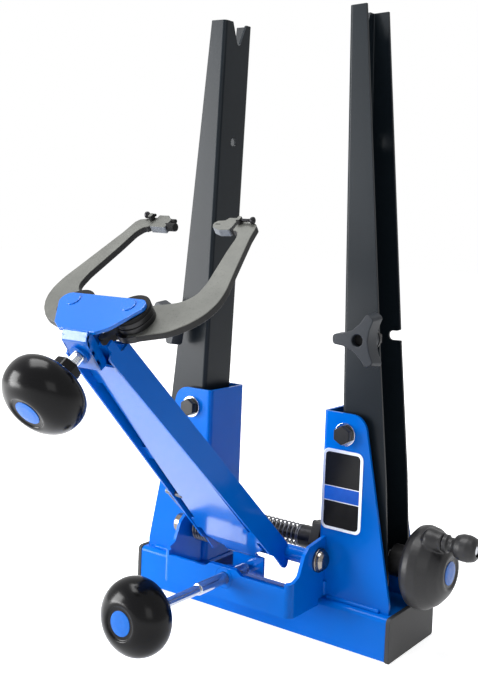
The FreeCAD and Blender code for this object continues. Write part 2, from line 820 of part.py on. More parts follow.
hub = new_body("crank_hub")
hub_loops = [(0, 0, "hub_radius"), (0, 0, "rod_radius + weld_gap")]
pad(hub, "hub_drum", "XY", hub_loops, "hub_reach", "wheel_reach - hub_reach")
place(hub, 0, "rod_y", "rod_height", **RIGHT)

wheel = new_body("crank_wheel")
wheel_profile = [
    ("rod_radius + weld_gap", "wheel_reach"),
    ("hub_radius", "wheel_reach"),
    ("wheel_radius * 0.78", "wheel_reach + wheel_depth * 0.07", 10),
    ("wheel_radius", "wheel_reach + wheel_depth * 0.3", 5),
    ("wheel_radius * 0.93", "wheel_reach + wheel_depth * 0.58", 9),
    ("wheel_radius * 0.62", "wheel_reach + wheel_depth * 0.9", 9),
    ("medal_radius + 1.5", "wheel_end", 2),
    ("medal_radius + 0.4", "wheel_end"),
    ("medal_radius + 0.4", "wheel_end - medal_depth"),
    (0, "wheel_end - medal_depth"),
    (0, "wheel_reach + 6 + weld_gap"),
    ("rod_radius + weld_gap", "wheel_reach + 6 + weld_gap"),
]
turn(wheel, "wheel_dome", wheel_profile)
boss_y = "handle_y - rod_y"
boss_z = "handle_height - rod_height"
boss_start = "wheel_reach + wheel_depth * 0.3"
boss = ("-(%s)" % boss_z, boss_y, "handle_boss_radius")
pad(wheel, "handle_boss", "XY", [boss], boss_start, "handle_boss_end - (%s)" % boss_start)
pin_length = "grip_ball_reach - handle_boss_end"
handle_pin_spot = ("-(%s)" % boss_z, boss_y, "handle_pin_radius")
pad(wheel, "handle_pin", "XY", [handle_pin_spot], "handle_boss_end - 3", "%s + 3" % pin_length)
place(wheel, 0, "rod_y", "rod_height", **RIGHT)

medal = new_body("crank_medallion")
pad(medal, "crank_medal_disc", "XY", [(0, 0, "medal_radius")], "wheel_end - medal_depth", "medal_thick")
place(medal, 0, "rod_y", "rod_height", **RIGHT)

grip = new_body("crank_grip")
ball_start = "grip_ball_reach - grip_ball_radius"
grip_end = "grip_ball_reach + grip_ball_radius"
bore_radius = "handle_pin_radius + running_gap"
grip_profile = [
    (bore_radius, "handle_boss_end + face_gap"),
    ("grip_collar_radius", "handle_boss_end + face_gap"),
    ("grip_collar_radius", "handle_boss_end + 3.5"),
    ("grip_neck_radius", "%s + 1" % ball_start, 1.5),
    ("grip_ball_radius * 0.78", "%s + grip_ball_radius * 0.28" % ball_start, 3),
    ("grip_ball_radius", "grip_ball_reach - grip_ball_radius * 0.3", 4),
    ("grip_ball_radius", "grip_ball_reach + grip_ball_radius * 0.3", 4),
    ("grip_ball_radius * 0.78", "%s - grip_ball_radius * 0.16" % grip_end, 3),
    ("grip_recess_radius", grip_end, 1),
    ("grip_recess_radius", "%s - grip_recess_depth" % grip_end),
    (0, "%s - grip_recess_depth" % grip_end),
    (0, "grip_ball_reach + free_gap"),
    (bore_radius, "grip_ball_reach + free_gap"),
]
turn(grip, "grip_ball", grip_profile)
place(grip, 0, "handle_y", "handle_height", **RIGHT)

# ---------------------------------------------------------------- front bracket and screw bush

bracket = new_body("front_bracket")
bracket_inside = "bracket_bend - bracket_wall"
plan = [
    ("-bracket_half", "tower_front"),
    ("-bracket_half", "bracket_front", "bracket_bend"),
    ("bracket_half", "bracket_front", "bracket_bend"),
    ("bracket_half", "tower_front"),
    ("bracket_half - bracket_wall", "tower_front"),
    ("bracket_half - bracket_wall", "bracket_front + bracket_wall", bracket_inside),
    ("-bracket_half + bracket_wall", "bracket_front + bracket_wall", bracket_inside),
    ("-bracket_half + bracket_wall", "tower_front"),
]
pad(bracket, "bracket_fold", "XY", [plan], "bracket_bottom", "ear_top - bracket_bottom")
above = [
    ("bracket_front - 5", "ear_top + 5"),
    ("bracket_front - 5", "ear_front_top"),
    ("bracket_front + 1.2", "ear_front_top"),
    ("bracket_front + 11.2", "ear_front_top + 3.9", 4),
    ("bracket_front + 17.7", "ear_top - 8.1", 5),
    ("bracket_front + 23.2", "ear_top - 3.5", 4),
    ("tower_front", "ear_top"),
    ("tower_front", "ear_top + 5"),
]
pocket(bracket, "ear_shape", "YZ", [above], "-bracket_half - 1", "2 * bracket_half + 2")
base_room = [
    ("-base_depth_half", "bracket_bottom - 1"),
    ("tower_front + 1", "bracket_bottom - 1"),
    ("tower_front + 1", "base_top"),
    ("-base_depth_half", "base_top"),
]
pocket(bracket, "base_seat", "YZ", [base_room], "-bracket_half - 1", "2 * bracket_half + 2")
plate_top = [
    ("-bracket_half + bracket_bend", "ear_top"),
    ("-bracket_half + bracket_bend", "bracket_plate_top"),
    ("-19", "bracket_plate_top", 4),
    ("-13", "bracket_hump_top", 4),
    ("10", "bracket_hump_top", 4),
    ("16", "bracket_plate_top", 4),
    ("bracket_half - bracket_bend", "bracket_plate_top"),
    ("bracket_half - bracket_bend", "ear_top"),
]
pocket(bracket, "plate_top", "XZ", [plate_top], "bracket_front - 1", "bracket_wall + 2")
screw_hole = (0, "screw_height", "screw_bush_radius + weld_gap")
pocket(bracket, "bush_hole", "XZ", [screw_hole], "bracket_front - 1", "bracket_wall + 2")
ear_hole = ("arm_pivot_y", "arm_pivot_height", "arm_bolt_radius + weld_gap")
pocket(bracket, "ear_holes", "YZ", [ear_hole], "-bracket_half - 1", "2 * bracket_half + 2")

bush = new_body("screw_bush")
bush_loops = [(0, 0, "screw_bush_radius"), (0, 0, "lower_screw_radius + running_gap")]
pad(bush, "bush_ring", "XZ", bush_loops, "bracket_front", "screw_bush_length")
place(bush, 0, 0, "screw_height")

arm_bolts = []
for side, word in ((1, "right"), (-1, "left")):
    bolt = new_body("arm_bolt_" + word, node=False)
    bolt_profile = [
        (0, "bracket_half - arm_bolt_reach"),
        ("arm_bolt_radius", "bracket_half - arm_bolt_reach"),
        ("arm_bolt_radius", "bracket_half"),
        ("arm_bolt_head_radius", "bracket_half"),
        ("arm_bolt_head_radius", "bracket_half + arm_bolt_head * 0.6", 1.2),
        ("arm_bolt_head_radius * 0.55", "bracket_half + arm_bolt_head", 1.2),
        (0, "bracket_half + arm_bolt_head"),
    ]
    turn(bolt, "arm_bolt_shape_" + word, bolt_profile)
    place(bolt, 0, "arm_pivot_y", "arm_pivot_height", **towards(side))
    arm_bolts.append(bolt)
group("arm_pivot_bolts", arm_bolts)

# ---------------------------------------------------------------- caliper arm
# Own frame: origin on the arm's pivot, Z along the arm, Y towards its back.

ARM = {"axis": (1, 0, 0), "angle": "arm_lean"}

tube = new_body("pivot_tube")
tube_half = "bracket_half - bracket_wall - free_gap"
tube_loops = [(0, 0, "arm_tube_radius"), (0, 0, "arm_bolt_radius + running_gap")]
pad(tube, "tube_wall", "YZ", tube_loops, "-(%s)" % tube_half, "2 * (%s)" % tube_half)
place(tube, 0, "arm_pivot_y", "arm_pivot_height")

arm = new_body("outer_arm")
arm_low = "-1.33 * arm_tube_radius"


def arm_half(height, inset="0"):
    return "arm_foot_half - arm_taper * (%s) - (%s)" % (height, inset)


arm_face = [
    ("-(%s)" % arm_half("arm_end"), "arm_end"),
    ("-(%s)" % arm_half(arm_low), arm_low),
    (arm_half(arm_low), arm_low),
    (arm_half("arm_end"), "arm_end"),
]
pad(arm, "arm_block", "XZ", [arm_face], "-arm_front", "arm_front + arm_back")
hollow_low = "-2 * arm_tube_radius"
hollow = [
    ("-(%s)" % arm_half("arm_end + 4", "arm_wall"), "arm_end + 4"),
    ("-(%s)" % arm_half(hollow_low, "arm_wall"), hollow_low),
    (arm_half(hollow_low, "arm_wall"), hollow_low),
    (arm_half("arm_end + 4", "arm_wall"), "arm_end + 4"),
]
pocket(arm, "arm_hollow", "XZ", [hollow], "-arm_front - 1", "arm_front + arm_back + 1 - arm_wall")
side_waste_back = [
    ("arm_back + 2", "-2.3 * arm_tube_radius"),
    ("arm_back + 2", "arm_tube_radius"),
    ("0.45 * arm_back", "arm_tube_radius", "0.5 * arm_tube_radius"),
    ("-0.07 * arm_front", "0.2 * arm_tube_radius"),
    ("-0.375 * arm_front", "-0.58 * arm_tube_radius", "0.5 * arm_tube_radius"),
    ("-0.618 * arm_front", "-arm_tube_radius", "0.67 * arm_tube_radius"),
    ("-0.896 * arm_front", "-0.5 * arm_tube_radius", "0.67 * arm_tube_radius"),
    ("-0.847 * arm_front", "2.3 * arm_tube_radius", "arm_tube_radius"),
    ("-arm_front - 2", "4 * arm_tube_radius"),
    ("-arm_front - 2", "-2.3 * arm_tube_radius"),
]
arm_width = "2 * arm_foot_half + 4"
pocket(arm, "arm_foot_shape", "YZ", [side_waste_back], "-arm_foot_half - 2", arm_width)
head_waste = [
    ("arm_back + 2", "arm_web_end"),
    ("arm_back + 2", "arm_end + 2"),
    ("-0.29 * arm_front", "arm_end + 2"),
    ("-0.29 * arm_front", "arm_web_end", 2),
]
pocket(arm, "arm_head_room", "YZ", [head_waste], "-arm_foot_half - 2", arm_width)
step_waste = [
    ("-arm_front - 2", "arm_web_end + 0.21 * arm_front"),
    ("-arm_front_step", "arm_web_end + 0.45 * arm_front", 2),
    ("-arm_front_step", "arm_end + 2"),
    ("-arm_front - 2", "arm_end + 2"),
]
pocket(arm, "arm_front_shape", "YZ", [step_waste], "-arm_foot_half - 2", arm_width)
tube_room = (0, 0, "arm_tube_radius + weld_gap")
pocket(arm, "arm_tube_room", "YZ", [tube_room], "-arm_foot_half - 2", arm_width)
place(arm, 0, "arm_pivot_y", "arm_pivot_height", **ARM)

# Inner plate: slopes between the flanges, then bends down into the tongue that the screw pushes.
# The tongue hangs plumb, so its corners are turned from the stand's frame into the arm's.


def in_arm(back, up):
    """(Y, Z) in the arm's frame of a point given from its pivot in the stand's frame."""
    along = "(-(%s) * sin(arm_lean) + (%s) * cos(arm_lean))" % (back, up)
    behind = "((%s) * cos(arm_lean) + (%s) * sin(arm_lean))" % (back, up)
    return behind, along


inner = new_body("inner_plate")
front_low = in_arm("-tongue_face", "-tongue_drop")
back_low = in_arm("-tongue_face + inner_thick", "-tongue_drop")
front_bend = in_arm("-tongue_face", "-1.27 * arm_tube_radius")
back_bend = in_arm("-tongue_face + inner_thick", "-1.4 * arm_tube_radius")
side_view = [
    ("-inner_top_drop", "inner_top"),
    ("-inner_knee_drop", "inner_knee", "0.8 * inner_knee"),
    ("-0.97 * inner_knee_drop", "0.2 * inner_knee"),
    front_bend,
    front_low,
    back_low,
    back_bend,
    ("-0.97 * inner_knee_drop + inner_thick", "0.2 * inner_knee + 0.3 * inner_thick"),
    ("-inner_knee_drop + inner_thick", "inner_knee", "0.8 * inner_knee"),
    ("-inner_top_drop + inner_thick", "inner_top"),
]
inner_span = "2 * (arm_foot_half - arm_wall)"
pad(inner, "inner_strip", "YZ", [side_view], "-arm_foot_half + arm_wall", inner_span)
for side, word in ((1, "right"), (-1, "left")):
    edge = "arm_wall + weld_gap"
    inset = "arm_wall + inner_gap"
    outline = [("arm_foot_half + 4", "inner_top + 8"), (arm_half("inner_top + 8", edge), "inner_top + 8")]
    for tab in ("inner_top - 13", "middle_tab", "lower_tab"):
        high = "%s + inner_tab / 2" % tab
        low = "%s - inner_tab / 2" % tab
        outline.append((arm_half(high, edge), high))
        outline.append((arm_half(low, edge), low))
        outline.append((arm_half(low, inset), low))
        nearest = {
            "inner_top - 13": "middle_tab + inner_tab / 2",
            "middle_tab": "lower_tab + inner_tab / 2",
            "lower_tab": "inner_knee - 3",
        }[tab]
        outline.append((arm_half(nearest, inset), nearest))
    outline[1] = (arm_half("inner_top + 8", edge), "inner_top + 8")
    outline.append(("tongue_half", "0.48 * inner_knee", "0.16 * inner_knee"))
    outline.append(("tongue_half", "-1.2 * tongue_drop"))
    outline.append(("arm_foot_half + 4", "-1.2 * tongue_drop"))
    reach = "tongue_drop + arm_front"
    pocket(inner, "inner_edge_" + word, "XZ", [mirrored(side, outline)], "-(%s)" % reach, "2 * (%s)" % reach)
place(inner, 0, "arm_pivot_y", "arm_pivot_height", **ARM)

# ---------------------------------------------------------------- torsion spring round the tube

torsion_length = "torsion_turns * torsion_pitch"
torsion = coil("torsion_spring", "torsion_radius", "torsion_wire", "torsion_pitch", torsion_length)
torsion_start = "-bracket_half + bracket_wall + free_gap + torsion_wire + 0.6"
place(torsion, torsion_start, "arm_pivot_y", "arm_pivot_height", **RIGHT)
nodes.append(torsion)

# ---------------------------------------------------------------- head plate
# Own frame: origin on the plate's top between the rivets, Y towards the jaw tips, Z off the plate.

head_y = "arm_pivot_y - head_along * sin(arm_lean) + head_drop * cos(arm_lean)"
head_z = "arm_pivot_height + head_along * cos(arm_lean) + head_drop * sin(arm_lean)"
HEAD = {"axis": (1, 0, 0), "angle": "head_tilt"}


def along_head(x, v, h):
    """Where a point of the head's frame is in the stand's frame."""
    y = "%s + (%s) * cos(head_tilt) - (%s) * sin(head_tilt)" % (head_y, v, h)
    z = "%s + (%s) * sin(head_tilt) + (%s) * cos(head_tilt)" % (head_z, v, h)
    return x, y, z


head = new_body("head_plate")
half_outline = [
    ("head_side", "head_rear", "head_corner"),
    ("head_side", "-1.7", 5),
    ("head_side - 13", "-21.4", 6),
    ("head_fold_half", "-head_fold + 0.5"),
]
outline = list(half_outline)
outline += [("-(%s)" % corner[0],) + tuple(corner[1:]) for corner in reversed(half_outline)]
pad(head, "head_sheet", "XY", [outline], "-head_thick", "head_thick")
tab_side = [
    ("-head_fold + 0.6", 0),
    ("-head_fold", 0, 2),
    ("-head_tab_v", "-4.3", 2),
    ("-head_tab_v", "-head_tab_drop"),
    ("-head_tab_v + head_thick", "-head_tab_drop"),
    ("-head_tab_v + head_thick", "-4.3 - head_thick * 0.4"),
    ("-head_fold + 0.6", "-head_thick"),
]
pad(head, "head_tab", "YZ", [tab_side], "-head_tab_half", "2 * head_tab_half")
return_side = [
    ("-head_tab_v + head_thick", "-head_thick + 0.5"),
    ("-20.5", "-head_thick + 0.5"),
    ("-20.5", "-head_tab_drop"),
    ("-head_tab_v + head_thick - 0.5", "-head_tab_drop"),
    ("-head_tab_v + head_thick - 0.5", "-8"),
]
for side, word in ((1, "right"), (-1, "left")):
    start = "return_half - arm_wall" if side > 0 else "-return_half"
    pad(head, "head_return_" + word, "YZ", [return_side], start, "arm_wall")
    wing = "head_tab_half" if side > 0 else "-return_half"
    web_strip = [
        ("-head_tab_v + head_thick", "-7"),
        ("-head_tab_v + head_thick", "-head_tab_drop"),
        ("-head_tab_v", "-head_tab_drop"),
        ("-head_tab_v", "-7"),
    ]
    pad(head, "head_corner_" + word, "YZ", [web_strip], wing, "return_half - head_tab_half")
holes = [
    ("rivet_reach", 0, "rivet_radius + weld_gap"),
    ("-rivet_reach", 0, "rivet_radius + weld_gap"),
    ("rivet_reach + 2.3", "-9.6", "head_spring_hole"),
]
pocket(head, "head_holes", "XY", holes, "-head_thick - 1", "head_thick + 2")
barrel_hole = (0, "-screw_axis_drop", "cone_radius + running_gap")
pocket(head, "head_barrel_hole", "XZ", [barrel_hole], "-head_tab_v - 1", "head_thick + 2")
place(head, 0, head_y, head_z, **HEAD)

rivets = []
jaw_washers = []
for side, word in ((1, "right"), (-1, "left")):
    rivet = new_body("jaw_rivet_" + word, node=False)
    rivet_profile = [
        (0, 0.7),
        ("rivet_head", 0.7, 0.5),
        ("rivet_head", 0),
        ("rivet_radius", 0),
        ("rivet_radius", "-jaw_top - jaw_thick - face_gap"),
        ("rivet_head + 1.5", "-jaw_top - jaw_thick - face_gap"),
        ("rivet_head + 1.5", "-jaw_top - jaw_thick - face_gap - 2.2", 0.8),
        (0, "-jaw_top - jaw_thick - face_gap - 2.2"),
    ]
    turn(rivet, "rivet_shape_" + word, rivet_profile)
    place(rivet, *along_head("%d * rivet_reach" % side, "0", "0"), **HEAD)
    rivets.append(rivet)
    ring = new_body("jaw_washer_" + word, node=False)
    ring_loops = [(0, 0, "jaw_washer_radius"), (0, 0, "rivet_radius + running_gap")]
    ring_thick = "boss_top - head_thick - 2 * face_gap"
    pad(ring, "jaw_washer_ring_" + word, "XY", ring_loops, "-boss_top + face_gap", ring_thick)
    place(ring, *along_head("%d * rivet_reach" % side, "0", "0"), **HEAD)
    jaw_washers.append(ring)
group("jaw_rivets", rivets)
group("jaw_washers", jaw_washers)

# ---------------------------------------------------------------- caliper jaws
# Own frame: origin on the rivet at the plate's top, Y towards the tips.

jaw_under = "-jaw_top - jaw_thick"
for side, word in ((1, "right"), (-1, "left")):
    jaw = new_body(word + "_caliper_jaw")
    jaw_outline = [
        ("0.0412 * jaw_spread", "-boss_radius + 0.4"),
        ("0.6173 * jaw_spread", "-0.0522 * jaw_reach", "0.0549 * jaw_reach"),
        ("0.8128 * jaw_spread", "0.0274 * jaw_reach", "0.0732 * jaw_reach"),
        ("0.9568 * jaw_spread", "0.1189 * jaw_reach", "0.0732 * jaw_reach"),
        ("1.0000 * jaw_spread", "0.2287 * jaw_reach", "0.1098 * jaw_reach"),
        ("0.9774 * jaw_spread", "0.3294 * jaw_reach", "0.2745 * jaw_reach"),
        ("0.8848 * jaw_spread", "0.4758 * jaw_reach"),
        ("0.6790 * jaw_spread", "0.8234 * jaw_reach", "0.3660 * jaw_reach"),
        ("0.6358 * jaw_spread", "0.9405 * jaw_reach", "0.0183 * jaw_reach"),
        ("0.5823 * jaw_spread", "0.9698 * jaw_reach", "0.0183 * jaw_reach"),
        ("0.2778 * jaw_spread", "1.0000 * jaw_reach", "0.0091 * jaw_reach"),
        ("0.2778 * jaw_spread", "0.8875 * jaw_reach", "0.0229 * jaw_reach"),
        ("0.3704 * jaw_spread", "0.8875 * jaw_reach", "0.0366 * jaw_reach"),
        ("0.4424 * jaw_spread", "0.8326 * jaw_reach", "0.1098 * jaw_reach"),
        ("0.4794 * jaw_spread", "0.6770 * jaw_reach"),
        ("0.5823 * jaw_spread", "0.3843 * jaw_reach", "0.0823 * jaw_reach"),
        ("0.5761 * jaw_spread", "0.2790 * jaw_reach", "0.0640 * jaw_reach"),
        ("0.4527 * jaw_spread", "0.2013 * jaw_reach", "0.0732 * jaw_reach"),
        ("-0.0206 * jaw_spread", "boss_radius - 0.3"),
    ]
    pad(jaw, "jaw_bar_" + word, "XY", [mirrored(side, jaw_outline)], jaw_under, "jaw_thick")
    boss_height = "jaw_top + jaw_thick - boss_top"
    pad(jaw, "jaw_boss_" + word, "XY", [(0, 0, "boss_radius")], jaw_under, boss_height)
    tail_tip = ("-%d * tail_reach" % side, "-tail_reach", "tail_radius")
    pad(jaw, "jaw_tail_tip_" + word, "XY", [tail_tip], jaw_under, "jaw_thick")
    tail = [
        ("-tail_reach + tail_radius * 0.7", "-tail_reach - tail_radius * 0.7"),
        ("tail_radius * 0.7", "-tail_radius * 0.7"),
        ("-tail_radius * 0.7", "tail_radius * 0.7"),
        ("-tail_reach - tail_radius * 0.7", "-tail_reach + tail_radius * 0.7"),
    ]
    pad(jaw, "jaw_tail_" + word, "XY", [mirrored(side, tail)], jaw_under, "jaw_thick")
    lug = [
        ("0.288 * jaw_spread", "0.947 * jaw_reach"),
        ("0.35 * jaw_spread", "0.947 * jaw_reach"),
        ("0.35 * jaw_spread", "0.99 * jaw_reach"),
        ("0.288 * jaw_spread", "0.99 * jaw_reach"),
    ]
    lug_height = "jaw_screw_head + jaw_screw_radius + 1.2"
    pad(jaw, "jaw_lug_" + word, "XY", [mirrored(side, lug)], "-jaw_top", lug_height)
    bore = (0, 0, "rivet_radius + running_gap")
    pocket(jaw, "jaw_bore_" + word, "XY", [bore], "%s - 1" % jaw_under, "%s + 2" % boss_height)
    lug_bore = ("0.968 * jaw_reach", "-jaw_top + jaw_screw_head + 0.1", "jaw_screw_radius + weld_gap")
    lug_start = "0.27 * jaw_spread" if side > 0 else "-0.37 * jaw_spread"
    pocket(jaw, "jaw_lug_bore_" + word, "YZ", [lug_bore], lug_start, "0.1 * jaw_spread")
    place(jaw, *along_head("%d * rivet_reach" % side, "0", "0"), **HEAD)

    tip = new_body(word + "_tip_block")
    tip_outline = [
        ("0.3210 * jaw_spread", "1.0293 * jaw_reach", "0.0091 * jaw_reach"),
        ("0.0412 * jaw_spread", "1.0293 * jaw_reach", "0.0091 * jaw_reach"),
        ("0.0206 * jaw_spread", "0.9918 * jaw_reach", "0.0137 * jaw_reach"),
        ("-0.1564 * jaw_spread", "0.9899 * jaw_reach", "0.0274 * jaw_reach"),
        ("-0.1975 * jaw_spread", "0.9561 * jaw_reach", "0.0229 * jaw_reach"),
        ("-0.1523 * jaw_spread", "0.9204 * jaw_reach", "0.0274 * jaw_reach"),
        ("0.0000 * jaw_spread", "0.8911 * jaw_reach", "0.0137 * jaw_reach"),
        ("0.1893 * jaw_spread", "0.8984 * jaw_reach", "0.0091 * jaw_reach"),
        ("0.2037 * jaw_spread", "0.9241 * jaw_reach"),
    ]
    pad(tip, "tip_plate_" + word, "XY", [mirrored(side, tip_outline)], "-jaw_top - jaw_thick - 1", "jaw_thick + 1")
    neck_v = "0.926 * jaw_reach"
    neck = (neck_v, "-jaw_top - jaw_thick / 2", "jaw_pin_radius")
    neck_start = "0.165 * jaw_spread" if side > 0 else "-0.278 * jaw_spread"
    pad(tip, "tip_neck_" + word, "YZ", [neck], neck_start, "0.113 * jaw_spread")
    place(tip, *along_head("%d * rivet_reach" % side, "0", "0"), **HEAD)

    screw = new_body(word + "_tip_screw")
    screw_profile = [
        (0, "0.288 * jaw_spread"),
        ("jaw_screw_radius", "0.288 * jaw_spread"),
        ("jaw_screw_radius", "0.504 * jaw_spread"),
        ("jaw_screw_head", "0.545 * jaw_spread"),
        ("jaw_screw_head", "0.576 * jaw_spread"),
        (0, "0.576 * jaw_spread"),
    ]
    turn(screw, "tip_screw_shape_" + word, screw_profile)
    screw_x = "%d * rivet_reach" % side
    place(screw, *along_head(screw_x, "0.968 * jaw_reach", "-jaw_top + jaw_screw_head + 0.1"), **towards(side))

# ---------------------------------------------------------------- upper screw: cone, screw and knob
# Own frame: origin on the plate's top between the rivets turned so that Z points out of the knob.

nose = new_body("upper_nose")
nose_profile = [
    (0, "-(cone_tip_v)"),
    ("cone_tip", "-(cone_tip_v)"),
    ("cone_radius", "-(cone_base_v)"),
    ("cone_radius", "upper_barrel_end"),
    ("upper_screw_radius + running_gap", "upper_barrel_end"),
    ("upper_screw_radius + running_gap", "upper_barrel_end - 8"),
    (0, "upper_barrel_end - 8"),
]
UPPER = {"axis": (1, 0, 0), "angle": "head_tilt + 90"}
upper_axis = along_head("0", "0", "-screw_axis_drop")
turn(nose, "nose_cone", nose_profile)
place(nose, *upper_axis, **UPPER)

upper_screw = new_body("upper_screw")
upper_shank_start = "upper_barrel_end - 8 + free_gap"
upper_loops = [(0, 0, "upper_screw_radius")]
pad(upper_screw, "upper_shank", "XY", upper_loops, upper_shank_start, "upper_hub_start - (%s)" % upper_shank_start)
place(upper_screw, *upper_axis, **UPPER)


def make_knob(label, start, place_at):
    """Mushroom knob with an octagonal hub and a medallion in a shallow recess."""
    knob = new_body(label + "_knob")
    pad(knob, label + "_hub", "XY", [regular(8, "knob_hub_flats")], "0", "knob_hub_length + 1")
    dome = [
        (0, "knob_hub_length"),
        ("knob_hub_radius", "knob_hub_length"),
        ("knob_radius * 0.62", "knob_length * 0.26", 12),
        ("knob_radius * 0.93", "knob_length * 0.38", 12),
        ("knob_radius", "knob_length * 0.56", 6),
        ("knob_radius * 0.95", "knob_length * 0.74", 8),
        ("knob_radius * 0.7", "knob_length * 0.94", 8),
        ("medal_radius + 1.2", "knob_length", 1.5),
        ("medal_radius + 0.4", "knob_length"),
        ("medal_radius + 0.4", "knob_length - medal_depth"),
        (0, "knob_length - medal_depth"),
    ]
    turn(knob, label + "_dome", dome)
    disc = new_body(label + "_medallion")
    pad(disc, label + "_disc", "XY", [(0, 0, "medal_radius")], "knob_length - medal_depth", "medal_thick")
    for item in (knob, disc):
        place(item, *start, **place_at)


make_knob("upper", along_head("0", "-upper_hub_start", "-screw_axis_drop"), UPPER)

# ---------------------------------------------------------------- lower screw

lower_nose = new_body("lower_nose")
button = [
    (0, 0),
    ("lower_screw_radius", 0, "lower_screw_radius * 0.96"),
    ("lower_screw_radius", "nose_length"),
    (0, "nose_length"),
]
turn(lower_nose, "nose_button", button)
place(lower_nose, 0, "nose_y", "screw_height", **FRONT)

lower_screw = new_body("lower_screw")
thick_start = "-(nose_y) + nose_length + weld_gap"
pad(lower_screw, "screw_shank", "XY", [(0, 0, "lower_screw_radius")], thick_start, "lower_neck_start - (%s)" % thick_start)
neck_length = "lower_hub_start - lower_neck_start"
pad(lower_screw, "screw_neck", "XY", [(0, 0, "lower_neck_radius")], "lower_neck_start", neck_length)
place(lower_screw, 0, 0, "screw_height", **FRONT)

make_knob("lower", (0, "-lower_hub_start", "screw_height"), FRONT)

# ---------------------------------------------------------------- check and write

doc.recompute()
broken = []
for item in doc.Objects:
    if "Invalid" in item.State or "Error" in item.State:
        broken.append(item.Label)
for feature in cuts:
    before = feature.BaseFeature.Shape.Volume
    if feature.Shape.Volume > before - 1e-3:
        broken.append(feature.Label + " cuts nothing")
for node in nodes:
    if node.Shape.isNull() or not node.Shape.isValid() or not node.Shape.Solids:
        broken.append(node.Label + " has no valid solid")
if broken:
    raise RuntimeError("failed: " + ", ".join(broken))

os.makedirs("parts", exist_ok=True)
for node in nodes:
    node.Shape.exportStep("parts/%s.step" % node.Label)
    print("%-24s %2d solids %9.1f mm3" % (node.Label, len(node.Shape.Solids), node.Shape.Volume))
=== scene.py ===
import json
from math import cos, pi, radians, sin, tan

import bmesh
import bpy
from mathutils import Matrix, Vector


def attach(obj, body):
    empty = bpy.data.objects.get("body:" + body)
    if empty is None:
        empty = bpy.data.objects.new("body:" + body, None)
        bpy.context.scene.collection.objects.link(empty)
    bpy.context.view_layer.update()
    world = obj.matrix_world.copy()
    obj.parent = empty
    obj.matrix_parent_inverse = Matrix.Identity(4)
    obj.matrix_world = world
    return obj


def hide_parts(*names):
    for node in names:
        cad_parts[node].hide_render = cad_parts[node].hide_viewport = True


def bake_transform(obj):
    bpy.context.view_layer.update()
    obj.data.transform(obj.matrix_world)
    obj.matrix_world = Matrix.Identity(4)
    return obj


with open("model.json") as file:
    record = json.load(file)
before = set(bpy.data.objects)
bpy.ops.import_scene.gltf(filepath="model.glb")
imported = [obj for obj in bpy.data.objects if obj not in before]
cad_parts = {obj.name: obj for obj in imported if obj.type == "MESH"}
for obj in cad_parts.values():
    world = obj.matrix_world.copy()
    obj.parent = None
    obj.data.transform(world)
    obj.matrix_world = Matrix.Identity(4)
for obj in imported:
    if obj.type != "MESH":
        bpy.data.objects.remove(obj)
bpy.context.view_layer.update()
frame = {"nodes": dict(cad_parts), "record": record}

# Looks of the wheel truing stand.  Shapes are drawn in millimetres, in the frame of what
# carries them, and brought into the stand's frame in metres when a piece is finished.

MM = 0.001
HANDS = (("right", 1), ("left", -1))


# ---------------------------------------------------------------- finishes


class Tone:
    """A shader value that can be used in sums."""

    def __init__(self, finish, socket):
        self.finish = finish
        self.socket = socket

    def maths(self, operation, first, second):
        return self.finish.node("ShaderNodeMath", {"operation": operation}, {0: first, 1: second})

    def __add__(self, other):
        return self.maths("ADD", self, other)

    def __radd__(self, other):
        return self.maths("ADD", other, self)

    def __mul__(self, other):
        return self.maths("MULTIPLY", self, other)

    def __rmul__(self, other):
        return self.maths("MULTIPLY", other, self)

    def above(self, level, width):
        """0 below the level, 1 a width above it, smooth between."""
        settings = {"interpolation_type": "SMOOTHSTEP"}
        sockets = {"Value": self, "From Min": level, "From Max": level + width}
        return self.finish.node("ShaderNodeMapRange", settings, sockets)


class Finish:
    """One procedural surface finish."""

    def __init__(self, name):
        self.material = bpy.data.materials.new(name)
        self.material.use_nodes = True
        self.tree = self.material.node_tree
        self.tree.nodes.clear()
        self.output = self.tree.nodes.new("ShaderNodeOutputMaterial")
        self.place = self.node("ShaderNodeTexCoord", output="Object")

    def node(self, kind, settings=None, sockets=None, output=0):
        node = self.tree.nodes.new(kind)
        for key, setting in (settings or {}).items():
            setattr(node, key, setting)
        for key, value in (sockets or {}).items():
            if isinstance(value, Tone):
                self.tree.links.new(value.socket, node.inputs[key])
            else:
                node.inputs[key].default_value = value
        return Tone(self, node.outputs[output])

    def grain(self, size, detail=2.0, roughness=0.5):
        """Noise whose spots are about this many millimetres wide."""
        scale = 1 / (size * MM)
        sockets = {"Vector": self.place, "Scale": scale, "Detail": detail, "Roughness": roughness}
        return self.node("ShaderNodeTexNoise", {}, sockets)

    def blend(self, share, first, second):
        """A colour between two colours."""
        sockets = {"Factor": share, "A": first, "B": second}
        return self.node("ShaderNodeMix", {"data_type": "RGBA"}, sockets, output="Result")

    def relief(self, height, depth):
        """Normal of a surface whose height varies by this many millimetres."""
        sockets = {"Height": height, "Strength": 1.0, "Distance": depth * MM}
        return self.node("ShaderNodeBump", {}, sockets)

    def skin(self, **sockets):
        """Close the finish with its surface shader."""
        named = {key.replace("_", " "): value for key, value in sockets.items()}
        shader = self.node("ShaderNodeBsdfPrincipled", {}, named)
        self.tree.links.new(shader.socket, self.output.inputs["Surface"])
        return self.material


def colour(red, green, blue):
    """Linear colour of three screen values from 0 to 255."""
    screen = (red / 255, green / 255, blue / 255)
    linear = (part / 12.92 if part < 0.04 else ((part + 0.055) / 1.055) ** 2.4 for part in screen)
    return tuple(linear) + (1,)


